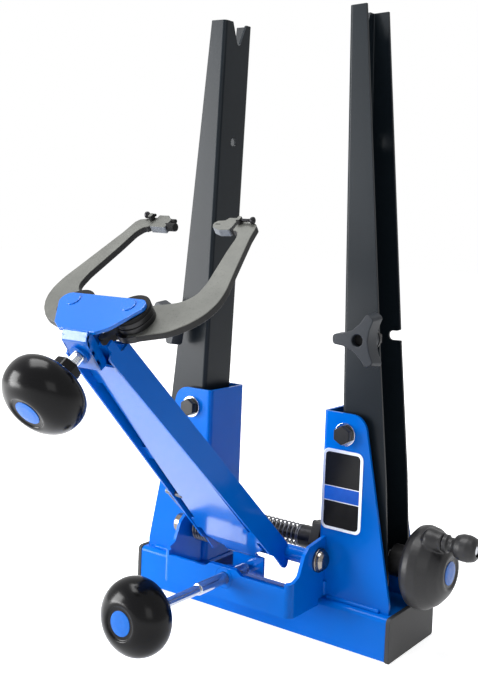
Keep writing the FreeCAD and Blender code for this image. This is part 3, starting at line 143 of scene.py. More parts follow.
def blue_powder_coat(name, rough, gloss, depth=0.008):
    finish = Finish(name)
    peel = finish.grain(2.6)
    cloud = finish.grain(55)
    return finish.skin(
        Base_Color=finish.blend(cloud, colour(0, 89, 184), colour(0, 101, 198)),
        Roughness=rough + 0.08 * peel,
        Specular_IOR_Level=gloss,
        Normal=finish.relief(peel, depth),
    )


def black_powder_coat():
    finish = Finish("black_powder_coat")
    texture = finish.grain(0.9, detail=3.0, roughness=0.6)
    cloud = finish.grain(60)
    return finish.skin(
        Base_Color=finish.blend(cloud, colour(15, 21, 26), colour(21, 28, 34)),
        Roughness=0.3 + 0.1 * texture,
        Specular_IOR_Level=0.14,
        Normal=finish.relief(texture, 0.012),
    )


def cap_moulding():
    finish = Finish("cap_moulding")
    spark = finish.grain(0.5, detail=3.0, roughness=0.7)
    return finish.skin(
        Base_Color=finish.blend(spark, colour(14, 14, 16), colour(28, 28, 30)),
        Roughness=0.55 + 0.15 * spark,
        Normal=finish.relief(spark, 0.03),
    )


def bright_zinc(name, dark, light, rough, metal=1.0):
    finish = Finish(name)
    fine = finish.grain(0.25, roughness=0.6)
    cloud = finish.grain(6, detail=3.0, roughness=0.6)
    return finish.skin(
        Base_Color=finish.blend(cloud, colour(*dark), colour(*light)),
        Metallic=metal,
        Roughness=rough + 0.14 * fine * cloud,
        Normal=finish.relief(fine, 0.004),
    )


def oiled_steel(name, dark, light, rough, metal):
    finish = Finish(name)
    fine = finish.grain(0.35, detail=3.0, roughness=0.6)
    cloud = finish.grain(7, detail=3.0, roughness=0.6)
    rub = finish.grain(2.5, detail=4.0, roughness=0.7).above(level=0.6, width=0.15)
    return finish.skin(
        Base_Color=finish.blend(rub * 0.4 + 0.4 * cloud, colour(*dark), colour(*light)),
        Metallic=metal,
        Roughness=rough + 0.2 * fine,
        Normal=finish.relief(fine, 0.006),
    )


def blasted_steel(name, dark, light):
    finish = Finish(name)
    fine = finish.grain(0.5, detail=3.0, roughness=0.7)
    speck = finish.grain(1.3, roughness=0.6).above(level=0.58, width=0.12)
    cloud = finish.grain(16, detail=3.0, roughness=0.6)
    low = colour(*dark)
    pit = tuple(0.6 * part for part in low[:3]) + (1,)
    base = finish.blend(cloud, low, colour(*light))
    return finish.skin(
        Base_Color=finish.blend(speck * 0.5, base, pit),
        Metallic=0.25,
        Roughness=0.46 + 0.18 * fine,
        Specular_IOR_Level=0.25,
        Normal=finish.relief(fine, 0.02),
    )


def moulding(name, dark, light, rough, gloss, depth=0.004):
    finish = Finish(name)
    sink = finish.grain(20, detail=1.0, roughness=0.4)
    haze = finish.grain(1.2, detail=3.0, roughness=0.6)
    return finish.skin(
        Base_Color=finish.blend(haze, colour(*dark), colour(*light)),
        Roughness=rough + 0.08 * haze,
        Specular_IOR_Level=gloss,
        Normal=finish.relief(sink + 0.1 * haze, depth),
    )


def enamel(name, dark, light):
    finish = Finish(name)
    cloud = finish.grain(5)
    return finish.skin(
        Base_Color=finish.blend(cloud, colour(*dark), colour(*light)),
        Roughness=0.2 + 0.08 * cloud,
        Specular_IOR_Level=0.2,
        Normal=finish.relief(cloud, 0.01),
    )


BLUE = blue_powder_coat("blue_powder_coat", rough=0.12, gloss=0.09)
HEAD_BLUE = blue_powder_coat("head_powder_coat", rough=0.16, gloss=0.4, depth=0.05)
PLATE_BLUE = blue_powder_coat("plate_powder_coat", rough=0.08, gloss=0.6)
BLACK = black_powder_coat()
CAP = cap_moulding()
ZINC = bright_zinc("bright_zinc", (184, 187, 193), (216, 219, 224), rough=0.08)
ROD_ZINC = bright_zinc("rod_zinc", (168, 171, 178), (204, 207, 213), rough=0.08, metal=0.85)
DULL_ZINC = bright_zinc("dull_zinc", (150, 152, 158), (196, 198, 203), rough=0.26)
DARK_STEEL = oiled_steel("oiled_steel", (26, 26, 28), (62, 62, 66), rough=0.26, metal=0.85)
BLACK_OXIDE = oiled_steel("black_oxide", (12, 12, 13), (38, 38, 41), rough=0.34, metal=0.5)
SPRING = oiled_steel("spring_steel", (80, 81, 86), (140, 141, 146), rough=0.2, metal=0.9)
JAW = blasted_steel("blasted_steel", (74, 75, 72), (102, 103, 99))
# Painted shade: a darker copy of the jaw's blasted steel for the fingers' side faces.
JAW_SHADED_SIDES = blasted_steel("jaw_painted_side_shade", (24, 24, 25), (40, 40, 40))
TIP_EDGE = blasted_steel("ground_edge", (84, 88, 94), (108, 112, 118))
KNOB = moulding("knob_moulding", (5, 5, 7), (9, 9, 11), rough=0.16, gloss=0.14)
CRANK_BLACK = moulding("crank_moulding", (22, 22, 24), (32, 32, 34), rough=0.38, gloss=0.3)
THUMB = moulding("thumb_moulding", (26, 30, 35), (36, 41, 48), rough=0.4, gloss=0.25, depth=0.01)
# Darker than the jaw: black stacked rings in part, painted shade under the head plate in part.
JAW_BOSS_BLACK_AND_SHADE = oiled_steel("jaw_boss_black_and_shade", (22, 22, 24), (48, 48, 50), rough=0.3, metal=0.5)
BOLT_CHROME = bright_zinc("bolt_chrome", (96, 90, 84), (150, 144, 138), rough=0.16)
# Near black, for painted shade: inside bores, in gaps and slits, and in part on the washers under
# the head plate. The left tip's pins take it too.
PAINTED_SHADE_BLACK = moulding("bore_shadow", (4, 4, 5), (8, 8, 9), rough=0.7, gloss=0.2, depth=0.01)
ENAMEL_BLUE = enamel("medallion_enamel", (8, 84, 172), (16, 104, 196))
LABEL_FOIL = bright_zinc("label_foil", (206, 210, 216), (232, 235, 240), rough=0.3)
LABEL_BLACK = enamel("label_black", (8, 8, 10), (15, 16, 18))
LABEL_BLUE = enamel("label_blue", (16, 76, 176), (24, 92, 196))


# ---------------------------------------------------------------- places


def turn_about(axis, degrees):
    return Matrix.Rotation(radians(degrees), 4, axis)


def at(x, y, z):
    return Matrix.Translation((x, y, z))


# A shape drawn along Z points to the front, or to the side given by its sign.
FRONT = turn_about("X", 90)
SIDE = {1: turn_about("Y", 90), -1: turn_about("Y", -90)}

ARM_PIVOT = at(0, -38.4, 63.9)
ARM = ARM_PIVOT @ turn_about("X", 45.6)
HEAD = at(0, -216.6, 262.0) @ turn_about("X", 37)
UPPER_SCREW = HEAD @ at(0, 0, -15) @ FRONT
LOWER_SCREW = at(0, 0, 45) @ FRONT
LEAN = {side: at(side * 74.2, 0, 160.4) @ turn_about("Y", -side * 1.66) for side in (1, -1)}
ROD = at(0, -4.2, 66.6)
ALONG_ROD = ROD @ SIDE[1]


# ---------------------------------------------------------------- shaping

WELD_DISTANCE = 0.001
COIL_WELD_DISTANCE = 0.002
CORNER_SEGMENTS = 5
# Faces that meet at less than this many degrees are one face, or one smooth surface.
FLAT_ANGLE = 0.5
SMOOTH_ANGLE = 32


def setback(before, corner, after):
    """How far from a corner its rounding starts."""
    if len(corner) < 3:
        return 0
    here = Vector(corner[:2])
    half = (Vector(before[:2]) - here).angle(Vector(after[:2]) - here) / 2
    return corner[2] / tan(half)


def wire(bm, corners, closed):
    """A line of (x, z[, radius[, segments]]) corners in the XZ plane."""
    verts = [bm.verts.new((corner[0], 0, corner[1])) for corner in corners]
    for first, second in zip(verts, verts[1:]):
        bm.edges.new((first, second))
    if closed:
        bm.edges.new((verts[-1], verts[0]))
    around = corners[-1:] + corners + corners[:1]
    cuts = [setback(*around[index : index + 3]) for index in range(len(corners))]
    for vert, corner, cut in zip(verts, corners, cuts):
        if cut:
            bmesh.ops.bevel(
                bm,
                geom=[vert],
                offset=cut,
                offset_type="OFFSET",
                segments=corner[3] if len(corner) > 3 else CORNER_SEGMENTS,
                profile=0.5,
                affect="VERTICES",
                material=-1,
                clamp_overlap=True,
            )
    return bm


def swept(bm, turns, pitch, steps):
    """Wind what is in the mesh about Z, climbing by the pitch at each turn."""
    whole_turn = turns == 1 and pitch == 0
    bmesh.ops.spin(
        bm,
        geom=bm.verts[:] + bm.edges[:],
        axis=(0, 0, 1),
        cent=(0, 0, 0),
        dvec=(0, 0, pitch / steps),
        steps=round(steps * turns),
        angle=2 * pi * turns,
        use_merge=whole_turn,
    )


def turned(corners, closed=False, steps=56):
    """Revolve a line of (radius, height[, rounding[, segments]]) corners about Z."""
    bm = wire(bmesh.new(), corners, closed)
    swept(bm, turns=1, pitch=0, steps=steps)
    bmesh.ops.remove_doubles(bm, verts=bm.verts, dist=WELD_DISTANCE)
    bmesh.ops.recalc_face_normals(bm, faces=bm.faces)
    return bm


def peg(radius, low, high, rounding=0, steps=56):
    """A plain round bar along Z, rounded at its upper end."""
    return turned([(0, low), (radius, low), (radius, high, rounding), (0, high)], steps=steps)


def rolled(bm, angle, axis):
    bmesh.ops.rotate(bm, cent=(0, 0, 0), matrix=Matrix.Rotation(angle, 3, axis), verts=bm.verts)
    return bm


def moved(bm, matrix):
    bmesh.ops.transform(bm, matrix=matrix, verts=bm.verts)
    return bm


def joined(*parts):
    """Several shapes as one."""
    whole = bmesh.new()
    for part in parts:
        mesh = bpy.data.meshes.new("part")
        part.to_mesh(mesh)
        part.free()
        whole.from_mesh(mesh)
        bpy.data.meshes.remove(mesh)
    return whole


def outlined(corners):
    """A flat face of (x, y[, rounding[, segments]]) corners."""
    bm = rolled(wire(bmesh.new(), list(corners), True), -pi / 2, "X")
    bmesh.ops.contextual_create(bm, geom=bm.edges[:])
    return bm


def slab(corners, start, thick, edge=0.0, segments=2):
    """A flat outline given a thickness along Z."""
    return thickened(outlined(corners), start, thick, edge, segments)


def tiled(outlines, start, thick, edge=0.0, segments=2):
    """A flat shape made of several outlines side by side, given a thickness along Z."""
    whole = joined(*(outlined(corners) for corners in outlines))
    bmesh.ops.remove_doubles(whole, verts=whole.verts, dist=WELD_DISTANCE)
    return thickened(whole, start, thick, edge, segments)


def thickened(bm, start, thick, edge, segments):
    """Raise a flat shape to its start and its thickness, and break its edges."""
    bmesh.ops.translate(bm, vec=(0, 0, start), verts=bm.verts)
    grown = bmesh.ops.extrude_face_region(bm, geom=bm.faces[:], use_keep_orig=True)
    top = [item for item in grown["geom"] if isinstance(item, bmesh.types.BMVert)]
    bmesh.ops.translate(bm, vec=(0, 0, thick), verts=top)
    bmesh.ops.recalc_face_normals(bm, faces=bm.faces)
    if edge:
        break_edges(bm, edge, segments)
    return bm


def break_edges(bm, width, segments=2):
    """Round the sharp edges by this width."""
    limit = radians(SMOOTH_ANGLE)
    sharp = [edge for edge in bm.edges if edge.is_manifold and edge.calc_face_angle(0) > limit]
    bmesh.ops.bevel(
        bm,
        geom=sharp,
        offset=width,
        offset_type="OFFSET",
        segments=segments,
        profile=0.5,
        affect="EDGES",
        material=-1,
        clamp_overlap=False,
        loop_slide=True,
    )


def sealed(bm):
    """Close the open ends and turn the faces outwards."""
    bmesh.ops.holes_fill(bm, edges=[edge for edge in bm.edges if edge.is_boundary], sides=0)
    bmesh.ops.recalc_face_normals(bm, faces=bm.faces)
    return bm


def coil(radius, wire_radius, stretches, sides=8, steps=20):
    """Round wire wound about Z in stretches of (turns, pitch), from z = 0."""
    parts = []
    done = 0
    height = 0
    for turns, pitch in stretches:
        bm = bmesh.new()
        bmesh.ops.create_circle(bm, segments=sides, radius=wire_radius)
        rolled(bm, pi / 2, "X")
        bmesh.ops.translate(bm, vec=(radius, 0, height), verts=bm.verts)
        rolled(bm, 2 * pi * done, "Z")
        swept(bm, turns, pitch, steps)
        parts.append(bm)
        done += turns
        height += turns * pitch
    whole = joined(*parts)
    bmesh.ops.remove_doubles(whole, verts=whole.verts, dist=COIL_WELD_DISTANCE)
    return sealed(whole)


def thread(radius, depth, start, length, pitch, steps=14):
    """A screw's threaded stretch along Z: a ridge wound round a core."""
    root = radius - depth
    sunk = root - 0.1
    half = 0.42 * pitch
    crest = 0.2 * half
    middle = start + half
    ridge = bmesh.new()
    profile = [
        (sunk, middle - half),
        (radius, middle - crest),
        (radius, middle + crest),
        (sunk, middle + half),
    ]
    wire(ridge, profile, True)
    swept(ridge, (length - 2 * half) / pitch, pitch, steps)
    return joined(peg(root, start, start + length, steps=24), sealed(ridge))


def round_bar(start, end, radius, rounding):
    """A straight round bar from one point to another."""
    start, end = Vector(start), Vector(end)
    length = (end - start).length
    shape = [(0, 0), (radius, 0, rounding), (radius, length, rounding), (0, length)]
    turn = (end - start).to_track_quat("Z", "Y").to_matrix().to_4x4()
    return moved(turned(shape, steps=20), Matrix.Translation(start) @ turn)


def weld_bead(length, radius):
    """A rippled bead of weld along Z."""
    ripple = 1.9
    valley = 0.84 * radius
    crests = round(length / ripple)
    corners = [(0, 0)]
    for index in range(crests):
        corners.append((valley, (index + 0.1) * ripple))
        corners.append((radius, (index + 0.5) * ripple))
    corners.append((0, crests * ripple))
    return turned(corners, steps=14)


def regular(sides, flats):
    """Corners of a regular polygon by its distance across flats, with a flat to the right."""
    reach = flats / 2 / cos(pi / sides)
    angles = [2 * pi * (index + 0.5) / sides for index in range(sides)]
    return [(reach * cos(angle), reach * sin(angle)) for angle in angles]


def polar(reach, degrees):
    return (reach * cos(radians(degrees)), reach * sin(radians(degrees)))


def box_outline(left, low, right, high):
    return [(left, low), (right, low), (right, high), (left, high)]


def mirrored(side, corners):
    return [(side * corner[0],) + tuple(corner[1:]) for corner in corners]


# ---------------------------------------------------------------- pieces

BODIES = frame["record"]["behaviour"]["bodies"]
BODY_OF = {node: body for body, members in BODIES.items() for node in members}
# A face whose normal has less than this along Z belongs to a shape's sides.
EDGE_LIMIT = 0.6


def evened(made, levels, skin):
    """Melt a piece's parts into one skin, round its faces or even out its shading."""
    if skin:
        grown = made.modifiers.new("one_skin", "REMESH")
        grown.mode = "VOXEL"
        grown.voxel_size = skin * MM
        grown.use_smooth_shade = True
        flowing = made.modifiers.new("flowing", "SMOOTH")
        flowing.factor = 0.5
        flowing.iterations = 7
    elif levels:
        rounding = made.modifiers.new("rounding", "SUBSURF")
        rounding.levels = levels
        rounding.render_levels = levels
    else:
        even = made.modifiers.new("even_faces", "WEIGHTED_NORMAL")
        even.keep_sharp = True


def piece(
    name,
    bm,
    place,
    node,
    finish,
    stands_in=False,
    smooth=SMOOTH_ANGLE,
    levels=0,
    body=None,
    edges=None,
    skin=0,
):
    """Bring a shape into the stand's frame as one piece that goes with a node.

    A piece that stands in is shown where its node was.  Edges up to `smooth` degrees are
    shaded smooth.  `edges` is a second finish, for the faces at the shape's sides.
    `levels` are rounds of subdivision and `skin` is the voxel of one closed skin.
    A body of "blended" leaves the piece hung on no body.
    """
    bm.normal_update()
    for face in bm.faces:
        face.material_index = 1 if edges and abs(face.normal.z) < EDGE_LIMIT else 0
    moved(bm, Matrix.Scale(MM, 4) @ place)
    mesh = bpy.data.meshes.new(name)
    bm.to_mesh(mesh)
    bm.free()
    mesh.materials.append(finish)
    if edges:
        mesh.materials.append(edges)
    mesh.shade_smooth()
    mesh.set_sharp_from_angle(angle=radians(smooth))
    made = bpy.data.objects.new(name, mesh)
    bpy.context.scene.collection.objects.link(made)
    evened(made, levels, skin)
    if body != "blended":
        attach(made, body or BODY_OF[node])
    if stands_in:
        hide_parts(node)
    return made


def eased(node, finish, width, merge=WELD_DISTANCE):
    """A machined or folded node with its sharp edges broken, drawn from its own solid."""
    bm = bmesh.new()
    bm.from_mesh(frame["nodes"][node].data)
    bmesh.ops.scale(bm, vec=(1 / MM,) * 3, verts=bm.verts)
    bmesh.ops.remove_doubles(bm, verts=bm.verts, dist=merge)
    limit = radians(FLAT_ANGLE)
    bmesh.ops.dissolve_limit(bm, angle_limit=limit, verts=bm.verts, edges=bm.edges)
    break_edges(bm, width)
    piece(node + "_skin", bm, Matrix(), node, finish, stands_in=True)


def painted(node, finish):
    """A node whose own shape stays, with its finish."""
    mesh = frame["nodes"][node].data
    mesh.materials.clear()
    mesh.materials.append(finish)


# ---------------------------------------------------------------- base channel, caps and bracket

eased("base_channel", BLUE, width=0.45)
eased("front_bracket", BLUE, width=0.2)
eased("screw_bush", BLUE, width=0.5)
for word in ("right", "left"):
    eased("end_cap_" + word, CAP, width=0.5)

# ---------------------------------------------------------------- towers, label and pivot bolts

TOWER_FRONT = -29
TOWER_BACK = 17.8
BASE_TOP = 33


def tower_welds(side):
    """The beads along a tower's foot, in front and behind, and up its inner front edge."""
    seat = BASE_TOP + 0.6
    return joined(
        moved(weld_bead(length=46, radius=2.1), at(side * 64, TOWER_FRONT, seat) @ SIDE[side]),
        moved(weld_bead(length=40, radius=2.1), at(side * 66, TOWER_BACK, seat) @ SIDE[side]),
        moved(weld_bead(length=11, radius=2.0), at(side * 61.4, TOWER_FRONT - 0.4, BASE_TOP + 2)),
    )


for word, side in HANDS:
    eased(word + "_tower", BLUE, width=0.25)
    piece(word + "_tower_welds", tower_welds(side), Matrix(), word + "_tower", BLUE, smooth=60)


def label():
    """A bare plate: bright rim, black field and a blue band with pale edges."""
    left, right, low, high = 56, 90.5, 86.4, 148
    rim = 2.3
    band_low, band_high, band_edge = 108.3, 120, 0.6

    def panel(inset, bottom, top, corner, lift, thick, edge=0):
        corners = box_outline(left + inset, bottom, right - inset, top)
        return slab([spot + (corner,) for spot in corners], lift, thick, edge=edge)

    face = at(0, TOWER_FRONT, 0) @ FRONT
    plate = panel(0, low, high, corner=5, lift=0, thick=0.6, edge=0.18)
    field = panel(rim, low + rim, high - rim, corner=3.2, lift=0.5, thick=0.14)
    band_edges = panel(rim, band_low, band_high, corner=0, lift=0.5, thick=0.18)
    band = panel(rim, band_low + band_edge, band_high - band_edge, corner=0, lift=0.5, thick=0.21)
    piece("label_rim", plate, face, "label_plate", LABEL_FOIL, stands_in=True)
    piece("label_field", field, face, "label_plate", LABEL_BLACK)
    piece("label_band_edges", band_edges, face, "label_plate", LABEL_FOIL)
    piece("label_band", band, face, "label_plate", LABEL_BLUE)


label()
eased("upright_pivot_bolts", BLACK_OXIDE, width=0.6)
eased("upright_pivot_nuts", BLACK_OXIDE, width=0.5)
eased("upright_pivot_washers", ZINC, width=0.25)
eased("upright_spacers", DULL_ZINC, width=0.3)

ear_shank = [(0, 37), (4, 37), (4, 61)]
ear_end = {
    1: [(9.2, 61), (9.2, 63, 0.5), (7.8, 63.3), (7.6, 65.4, 1), (5.4, 67.4, 2), (0, 67.9)],
    -1: [(7.9, 61), (7.9, 75.2, 1.2), (6.6, 76, 0.5), (6.2, 75.2), (0, 75.2)],
}
ear_bolts = [moved(turned(ear_shank + ear_end[side]), ARM_PIVOT @ SIDE[side]) for side in (1, -1)]
piece(
    "ear_bolts",
    joined(*ear_bolts),
    Matrix(),
    "arm_pivot_bolts",
    BOLT_CHROME,
    stands_in=True,
    smooth=40,
)

# ---------------------------------------------------------------- uprights and thumb knobs

GRIP_START = 6
GRIP_THICK = 13
GRIP_TAPER = 0.93
TAPER_START = 12
BORE_RIM = 6
THUMB_OUT, THUMB_FRONT, THUMB_UP = 16.4, -24.75, 72.6


def lobe(direction):
    """One third of the thumb knob's face, from the bore to the tip."""
    bore = 4.4
    waist = 9.2
    neck_reach, neck_half = 13, 5
    tip_reach, tip_half = 22.3, 3.8
    tip_rounding = (2.8, 6)

    def across(along, off):
        x, y = polar(1, direction)
        return (along * x - off * y, along * y + off * x)

    return [
        polar(waist, direction - 60),
        across(neck_reach, -neck_half),
        across(tip_reach, -tip_half) + tip_rounding,
        across(tip_reach, tip_half) + tip_rounding,
        across(neck_reach, neck_half),
        polar(waist, direction + 60),
    ] + [polar(bore, direction + turn) for turn in range(60, -61, -15)]


def thumb_grip(first):
    """Three lobes, drawn in at the outer face, on a plain collar."""
    lobes = [lobe(first + 120 * index) for index in range(3)]
    grip = tiled(lobes, GRIP_START, GRIP_THICK, edge=0.9, segments=3)
    for vert in grip.verts:
        if vert.co.z > TAPER_START and vert.co.xy.length > BORE_RIM:
            vert.co.xy *= GRIP_TAPER
    return joined(grip, turned([(3.5, 0), (8, 0), (8, 6.2), (3.5, 6.2)], closed=True))


for word, side in HANDS:
    eased(word + "_upright", BLACK, width=0.2)
    eased("thumb_stud_" + word, BLACK_OXIDE, width=0.25)
    place = LEAN[side] @ at(side * THUMB_OUT, THUMB_FRONT, THUMB_UP) @ FRONT
    grip = thumb_grip(180 if side > 0 else 30)
    piece("thumb_grip_" + word, grip, place, "thumb_knob_" + word, THUMB, stands_in=True)
    # A near-black disc across the bore: painted shade inside the hole.
    bore = peg(radius=4.3, low=13.9, high=14.3)
    piece("thumb_bore_shade_" + word, bore, place, "thumb_knob_" + word, PAINTED_SHADE_BLACK)

# ---------------------------------------------------------------- crank rod and main spring

COLLAR_REACH = 37
COLLAR_RADIUS = 12
SPRING_STRETCHES = [(5.75, 4), (1.35, 1.62)]

collar_screw = [(0, 0), (3, 0), (3, 2.4, 0.5), (1.5, 2.4), (1.5, 1.2), (0, 1.2)]
shaft = joined(
    peg(radius=5.4, low=-82, high=82),
    thread(radius=5.5, depth=0.8, start=80, length=27.6, pitch=1.5),
    thread(radius=5.5, depth=0.8, start=-94, length=14, pitch=1.5),
)
piece("crank_rod", shaft, ALONG_ROD, "threaded_rod", DARK_STEEL, stands_in=True)
eased("crank_lock_nut", ZINC, width=0.25)
painted("crank_hub", BLACK_OXIDE)
for word, side in HANDS:
    painted(word + "_sleeve", DARK_STEEL)
    painted(word + "_barrel_nut", DARK_STEEL)
    collar = word + "_set_collar"
    eased(collar, BLACK_OXIDE, width=0.35)
    place = ROD @ at(side * COLLAR_REACH, 0, COLLAR_RADIUS) @ SIDE[-side]
    piece(word + "_collar_screw", turned(collar_screw, steps=32), place, collar, DARK_STEEL)
    half = coil(radius=8.2, wire_radius=0.8, stretches=SPRING_STRETCHES)
    place = ALONG_ROD if side > 0 else ALONG_ROD @ turn_about("X", 180)
    wound = piece(
        "main_spring_" + word,
        half,
        place,
        "main_spring",
        SPRING,
        stands_in=True,
        body="blended",
    )
    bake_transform(wound)

# ---------------------------------------------------------------- crank wheel and handle

HANDLE = at(-25, -10.8, 0)


def badge(floor):
    """A plain domed disc, smaller than the recess that it is stuck in."""
    rise = [(8.7, floor), (8.7, floor + 0.5, 0.3), (5, floor + 0.85, 3), (0, floor + 0.9)]
    return turned([(0, floor)] + rise)


dome = [
    (0, 120),
    (12, 120),
    (18.5, 121),
    (25.6, 123.2),
    (30, 127),
    (31.1, 131.5),
    (30, 137.8),
    (25.4, 144.8),
    (19, 150.2),
    (14.2, 152.7),
    (12.4, 153),
    (11.7, 152.6),
    (11.5, 151.9),
    (11.2, 151.85),
    (0, 151.85),
]
boss = [
    (0, 136),
    (6, 136),
    (9, 138.5, 2.5, 6),
    (8.4, 143, 5, 6),
    (7.3, 147.5, 4, 6),
    (7.2, 151, 0.8),
    (0, 151),
]
ball = [
    (3.5, 151.2),
    (6.6, 151.2, 0.5),
    (6.6, 154.4, 0.8),
    (5.2, 155.6, 1.2),
    (5.3, 159, 2),
    (8.3, 161, 4, 6),
    (9.7, 165.6, 6, 6),
    (9.7, 170.4, 6, 6),
    (8.2, 175.4, 4, 6),
    (5.4, 176.8, 1),
    (4.6, 176.7),
    (4.6, 175),
    (0, 175),
]
pin_end = [(0, 174.9), (3.1, 174.9), (3.1, 175.7, 0.4), (0, 175.9)]
wheel = joined(turned(dome), moved(turned(boss), HANDLE))
piece(
    "crank_dome",
    wheel,
    ALONG_ROD,
    "crank_wheel",
    CRANK_BLACK,
    stands_in=True,
    smooth=180,
    skin=0.7,
)
piece("crank_badge", badge(151.8), ALONG_ROD, "crank_medallion", ENAMEL_BLUE, stands_in=True)
handle_spot = ALONG_ROD @ HANDLE
piece("grip_ball", turned(ball), handle_spot, "crank_grip", CRANK_BLACK, stands_in=True, smooth=50)
piece("grip_pin_end", turned(pin_end, steps=32), handle_spot, "crank_grip", DULL_ZINC)

# ---------------------------------------------------------------- arm and torsion spring

TORSION_START = -55.9
TORSION_WIRE = 1.1

eased("pivot_tube", BLUE, width=0.3)
eased("outer_arm", BLUE, width=0.25, merge=0.3)


def inner_plate():
    """The plate welded in the arm, lifted towards the flanges' front edges at its top."""
    lift, knee, top = 8, 25, 233
    bm = bmesh.new()
    bm.from_mesh(frame["nodes"]["inner_plate"].data)
    moved(bm, ARM.inverted() @ Matrix.Scale(1 / MM, 4))
    bmesh.ops.remove_doubles(bm, verts=bm.verts, dist=WELD_DISTANCE)
    for vert in bm.verts:
        vert.co.y -= lift * max(0, vert.co.z - knee) / (top - knee)
    break_edges(bm, 0.2)
    piece("inner_plate_skin", bm, ARM, "inner_plate", PLATE_BLUE, stands_in=True)


inner_plate()
torsion_start = at(TORSION_START, 0, 0) @ ARM_PIVOT @ SIDE[1]
torsion_coil = coil(radius=8.6, wire_radius=TORSION_WIRE, stretches=[(5, 2.7)])
piece("torsion_coil", torsion_coil, torsion_start, "torsion_spring", SPRING, stands_in=True)
spring_leg = joined(
    round_bar((-41, -7, 4), (-36.4, -11, 78), radius=TORSION_WIRE, rounding=0.9),
    round_bar((-37, -11, 79.4), (-21, -11, 77), radius=2.3, rounding=1.6),
)
piece("torsion_leg", spring_leg, ARM, "torsion_spring", SPRING, smooth=60)

# ---------------------------------------------------------------- head plate and its bolts

TAB_HALF = 10.8
LUG_THICK = 2

head_half = [(36.5, 7, 6.8, 8), (36.5, -1.7, 5), (23.5, -21.4, 6), (15.5, -26.5)]
head_outline = head_half + mirrored(-1, head_half[::-1])
fold = [
    (-26.4, 0),
    (-27, 0, 2),
    (-32, -4.3, 2),
    (-32, -28),
    (-29.5, -28),
    (-29.5, -5.3),
    (-26.4, -2.5),
]
lug = [(-29.6, -2), (-24.6, -2, 1), (-24.6, -26, 3), (-27, -28, 1), (-32, -28), (-32, -7)]
across_head = turn_about("Z", 90) @ turn_about("X", 90)
head_parts = [
    slab(head_outline, -2.5, 2.5, edge=0.5, segments=3),
    moved(slab(fold, -TAB_HALF, 2 * TAB_HALF, edge=0.35), across_head),
    moved(slab(lug, TAB_HALF - LUG_THICK, LUG_THICK, edge=0.3), across_head),
    moved(slab(lug, -TAB_HALF, LUG_THICK, edge=0.3), across_head),
]
piece("head_sheet", joined(*head_parts), HEAD, "head_plate", HEAD_BLUE, stands_in=True)
painted("jaw_rivets", HEAD_BLUE)
# The washer stack under the head plate is near black: black washers in part, painted shade under
# the plate in part.
eased("jaw_washers", PAINTED_SHADE_BLACK, width=0.2)

# ---------------------------------------------------------------- jaws and their tips
# A jaw's own frame: x outwards from its rivet, y towards the tips, z off the head plate.

RIVET_REACH = 24
JAW_TOP = -13
JAW_THICK = 5

finger = [
    (2, -15.1),
    (30, -5.7, 22, 6),
    (39.5, 3, 24, 6),
    (46.5, 13, 24, 6),
    (48.6, 25, 24, 6),
    (47.5, 36, 40, 6),
    (43, 52),
    (33, 90, 40, 8),
    (30.9, 102.8, 2, 4),
    (28.3, 106, 2, 4),
    (13.5, 109.3, 1),
    (13.5, 97, 2.5),
    (18, 97, 4),
    (21.5, 91, 12),
    (23.3, 74),
    (28.3, 42, 14, 8),
    (28, 30.5, 10, 8),
    (22, 22, 16, 6),
    (-1, 15.2),
]
tail = [(-13.5, -18.4), (2.5, -2.5), (-2.5, 2.5), (-18.4, -13.5)]
screw_lug = [(14.2, 103.6, 1), (17.4, 103.6, 1), (17.4, 108, 1), (14.2, 108, 1)]
boss_stack = [
    (4.1, -18),
    (15.5, -18, 0.5),
    (15.5, -13.2, 0.4),
    (13.2, -13.2),
    (13.2, -9.4, 0.5),
    (12.4, -9.2),
    (12.4, -8.6),
    (13.4, -8.4, 0.4),
    (13.4, -5.2, 0.5),
    (4.1, -5.2),
]
tip = {
    1: [
        (11.2, 111.8, 1),
        (2.5, 111.8, 1),
        (1, 108.6, 1.5),
        (-5.4, 107.8, 3, 6),
        (-7.3, 104.3, 2.5),
        (-5.2, 100.4, 3, 6),
        (1.8, 97.4, 1.5),
        (10.4, 98, 1),
        (11.2, 100.5),
    ],
    -1: [
        (13.7, 111.8, 1),
        (4.5, 111.8, 1),
        (2, 109, 1.5),
        (-1, 108, 1),
        (-1, 97.6, 0.8),
        (13.7, 98, 1),
    ],
}
STOP_START = 13.2
stop_reach = {1: 24.4, -1: 19}
stop_along = {1: 105.8, -1: 108}


def finger_parts(side):
    """The bent bar, its tail with a round end, and the lug that the stop screw goes through."""
    under = JAW_TOP - JAW_THICK
    horn_end = peg(3.5, under, JAW_TOP, rounding=0.5, steps=32)
    return joined(
        slab(mirrored(side, finger), under, JAW_THICK, edge=0.8, segments=3),
        slab(mirrored(side, tail), under, JAW_THICK, edge=0.4),
        moved(horn_end, at(-side * 16, -16, 0)),
        slab(mirrored(side, screw_lug), JAW_TOP - 0.2, 4.6, edge=0.4),
    )


def tip_details(side):
    """The neck that holds a tip, a near-black slab painting the shade in the gap between tip and
    finger, with, in the right one, a near-black strip painting the slit's shade and, in the left
    one, the pins.
    """
    neck = slab(mirrored(side, box_outline(11.4, 98.6, 13.8, 107.6)), -18.4, 4.8)
    if side > 0:
        # The slit: a thin near-black strip on the tip's face, painted shade.
        return joined(neck, slab(box_outline(-4.6, 103.2, -0.4, 104.1), JAW_TOP - 0.1, 0.14))
    thick_pin = moved(peg(radius=3.1, low=-1, high=7.6, rounding=0.8), at(0, 101.8, -16) @ SIDE[1])
    thin_pin = moved(peg(radius=1.6, low=-1, high=4.6, rounding=0.4), at(0, 107, -14.7) @ SIDE[1])
    return joined(neck, thick_pin, thin_pin)


